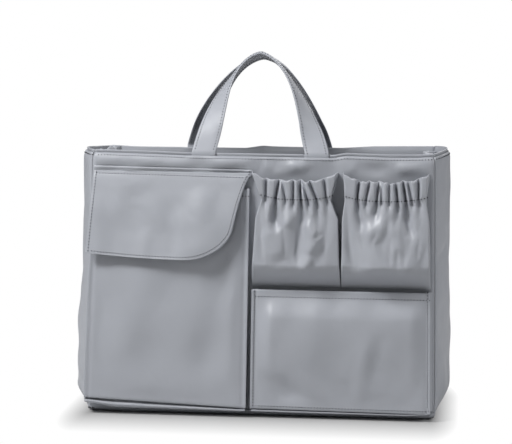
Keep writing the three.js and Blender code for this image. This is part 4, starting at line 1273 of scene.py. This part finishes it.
def stitch_tree():
    """Lines in, stitches out. Its inputs are the sizes, in metres."""
    tree = bpy.data.node_groups.new("sew_lines", "GeometryNodeTree")
    tree.interface.new_socket("Lines", in_out="INPUT", socket_type="NodeSocketGeometry")
    for name in STITCH_SIZES:
        tree.interface.new_socket(name, in_out="INPUT", socket_type="NodeSocketFloat")
    tree.interface.new_socket("Stitches", in_out="OUTPUT", socket_type="NodeSocketGeometry")
    given = add_node(tree, "NodeGroupInput").outputs
    curve = add_node(tree, "GeometryNodeMeshToCurve", {"Mesh": given["Lines"]})
    walk = add_node(tree, "GeometryNodeCurveToPoints", {
        "Curve": curve, "Length": given["Pitch"]}, mode="LENGTH")
    turn = add_node(tree, "FunctionNodeAlignRotationToVector", {"Vector": walk.outputs["Tangent"]}, axis="Z")
    bead = add_node(tree, "GeometryNodeMeshUVSphere", {"Segments": 6, "Rings": 4, "Radius": 1.0})
    half_stitch, half_pitch = (
        add_node(tree, "ShaderNodeMath", {0: given[whole], 1: 0.5}, operation="MULTIPLY")
        for whole in ("Stitch length", "Pitch"))
    size = add_node(tree, "ShaderNodeCombineXYZ", {
        "X": given["Thread radius"], "Y": given["Thread radius"], "Z": half_stitch})
    threads = beads(tree, THREAD, {"Points": walk, "Instance": bead, "Rotation": turn, "Scale": size})
    step = add_node(tree, "ShaderNodeVectorMath", {
        0: walk.outputs["Tangent"], "Scale": half_pitch}, operation="SCALE")
    spots = add_node(tree, "GeometryNodeSetPosition", {"Geometry": walk, "Offset": step})
    # Painted shade: a dark bead after each stitch stands for the needle hole in shadow.
    hole_shades = beads(tree, HOLE_SHADE, {"Points": spots, "Instance": bead, "Scale": given["Hole shade radius"]})
    both = add_node(tree, "GeometryNodeJoinGeometry", {0: threads})
    set_inputs(tree, both, {0: hole_shades})
    add_node(tree, "NodeGroupOutput", {"Stitches": both})
    return tree


SEW_LINES = stitch_tree()
print("stitch tree:", len(SEW_LINES.nodes), "nodes")

# %% Sew the rows
def sewn(name, lines):
    """A plain mesh of stitches along lines."""
    spots = np.concatenate(lines) * MM
    ends = np.cumsum([len(line) for line in lines])
    edges = [(i, i + 1) for i in range(len(spots) - 1) if i + 1 not in ends]
    mesh = bpy.data.meshes.new(name + "_lines")
    mesh.from_pydata(spots.tolist(), edges, [])
    mesh.materials.append(THREAD)
    mesh.materials.append(HOLE_SHADE)
    guide = add_object(name + "_guide", mesh)
    modifier = guide.modifiers.new("sew", "NODES")
    modifier.node_group = SEW_LINES
    for item in SEW_LINES.interface.items_tree:
        if item.in_out == "INPUT" and item.name in STITCH_SIZES:
            modifier[item.identifier] = STITCH_SIZES[item.name] * MM
    evaluated = guide.evaluated_get(bpy.context.evaluated_depsgraph_get())
    made = bpy.data.meshes.new_from_object(evaluated)
    made.name = name
    guide.modifiers.remove(modifier)
    bpy.data.objects.remove(guide)
    return made


stitched = 0
for group, lines in stitch_lines.items():
    name = f"{group}_stitches"
    piece = add_object(name, sewn(name, lines))
    if group in bends:
        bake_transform(piece)
    else:
        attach(piece, group)
    stitched += len(piece.data.polygons)
print("stitches:", stitched, "faces in", len(stitch_lines), "pieces")

# %% [markdown]
# ## Stage, camera and light
# The photograph is a studio shot on white: the camera a little right of the front and above it, far off with
# a long lens. The key light is a large soft lamp at the upper left. A weak lamp in front, a fill at the right
# and one behind lift the shadows. The world is white where the camera sees it, and lights the part dimly. The
# floor keeps a soft shadow close to the part and fades to pure white, over 3 cm at the sides and 12 cm in
# front. To the camera it is a darker paper than to the light it reflects, which makes the contact shadow
# nearly as deep as in the photograph. Lengths are in metres from here on.

# %% Floor
FLOOR_HALF, FLOOR_Z = 6, -0.0004
SHADOW_HALF, FADE_X, FADE_Y = (0.178, 0.07, 0), 0.03, 0.12  # half the shadow's size, and its fade
WHITE, ZERO = (1, 1, 1, 1), (0, 0, 0)
floor_mesh = bpy.data.meshes.new("floor")
corners = [(sx * FLOOR_HALF, sy * FLOOR_HALF, FLOOR_Z) for sx, sy in ((-1, -1), (1, -1), (1, 1), (-1, 1))]
floor_mesh.from_pydata(corners, [], [(0, 1, 2, 3)])
floor = add_object("floor", floor_mesh)
paper, tree, shader = new_material("white_paper_floor")
to_camera = add_node(tree, "ShaderNodeLightPath").outputs["Is Camera Ray"]
# Painted shade: to the camera the floor is a darker grey than to the light it reflects, deepening the contact
# shadow.
camera_floor_shade = add_node(tree, "ShaderNodeMix", {
    "Factor": to_camera, "A": linear("c4c4c4"), "B": linear("9b9b9b")}, data_type="RGBA")
set_inputs(tree, shader, {"Roughness": 0.9, "Base Color": camera_floor_shade.outputs["Result"]})
white = add_node(tree, "ShaderNodeEmission", {"Color": WHITE, "Strength": 1.0})
# Painted fade: a mask around the footprint sets where the contact shadow gives way to white emission.
# How far a spot lies beyond the shadow, as a share of its fade.
beyond = add_node(tree, "ShaderNodeTexCoord").outputs["Object"]
for operation, other in (("ABSOLUTE", ZERO), ("SUBTRACT", SHADOW_HALF), ("MAXIMUM", ZERO),
                         ("MULTIPLY", (1 / FADE_X, 1 / FADE_Y, 0)), ("LENGTH", ZERO)):
    beyond = add_node(tree, "ShaderNodeVectorMath", {0: beyond, 1: other}, operation=operation)
away = add_node(tree, "ShaderNodeClamp", {"Value": beyond.outputs["Value"]})
share = add_node(tree, "ShaderNodeMath", {0: to_camera, 1: away}, operation="MULTIPLY")
seen = add_node(tree, "ShaderNodeMixShader", {0: share, 1: shader, 2: white})
set_inputs(tree, tree.nodes["Material Output"], {"Surface": seen})
floor_mesh.materials.append(paper)
print("the floor is white from", SHADOW_HALF[1] + FADE_Y, "m in front of the middle")

# %% World
AMBIENT = 0.13
world = bpy.data.worlds.new("studio")
scene.world = world
world.use_nodes = True
tree = world.node_tree
tree.nodes.clear()
ray = add_node(tree, "ShaderNodeLightPath").outputs
shown = add_node(tree, "ShaderNodeMath", {
    0: ray["Is Camera Ray"], 1: ray["Is Transmission Ray"]}, operation="MAXIMUM")
dim, bright = (add_node(tree, "ShaderNodeBackground", {"Color": WHITE, "Strength": strength})
               for strength in (AMBIENT, 1.0))
mixed = add_node(tree, "ShaderNodeMixShader", {0: shown, 1: dim, 2: bright})
add_node(tree, "ShaderNodeOutputWorld", {"Surface": mixed})
scene.view_settings.view_transform = "Standard"
print("ambient light", AMBIENT)

# %% Camera
FRAME_WIDTH, FOCAL_PIXELS, DISTANCE, AZIMUTH, ELEVATION, ROLL = 512, 2333.0, 2.4967, 5.08, 5.19, 0.75
TARGET = Vector((-0.012, 0, 0.1972))
turn, tilt = math.radians(AZIMUTH), math.radians(ELEVATION)
ahead = Vector((-math.sin(turn) * math.cos(tilt), math.cos(turn) * math.cos(tilt), -math.sin(tilt)))
lens = bpy.data.cameras.new("camera")
lens.sensor_fit = "HORIZONTAL"
lens.sensor_width = 36
lens.lens = FOCAL_PIXELS * lens.sensor_width / FRAME_WIDTH
camera = add_object("camera", lens)
camera.location = TARGET - ahead * DISTANCE
level = ahead.to_track_quat("-Z", "Y")
camera.rotation_euler = (level @ Quaternion((0, 0, 1), math.radians(ROLL))).to_euler()
bpy.context.scene.camera = camera
print("lens:", round(lens.lens), "mm, camera", DISTANCE, "m off")

# %% Lamps
LAMP_TARGET = Vector((0, 0, 0.15))
# A lamp has its place, its size and its watts.
LAMPS = {"key": ((-1.2, -1.0, 1.9), 0.6, 57), "front": ((-0.4, -2.2, 1.1), 0.6, 2),
         "fill": ((1.9, -0.2, 1.5), 1.2, 20), "back": ((0.7, 2.0, 1.5), 1.2, 14)}
for name, (spot, size, watts) in LAMPS.items():
    light = bpy.data.lights.new(name, "AREA")
    light.size, light.energy = size, watts
    lamp = add_object(name, light)
    lamp.location = spot
    lamp.rotation_euler = (LAMP_TARGET - Vector(spot)).to_track_quat("-Z", "Y").to_euler()
print("lamps:", {name: lamp[2] for name, lamp in LAMPS.items()}, "watts")

# %% Sizes and finish
print("flat sizes of the cuts, mm:", flat_sizes)
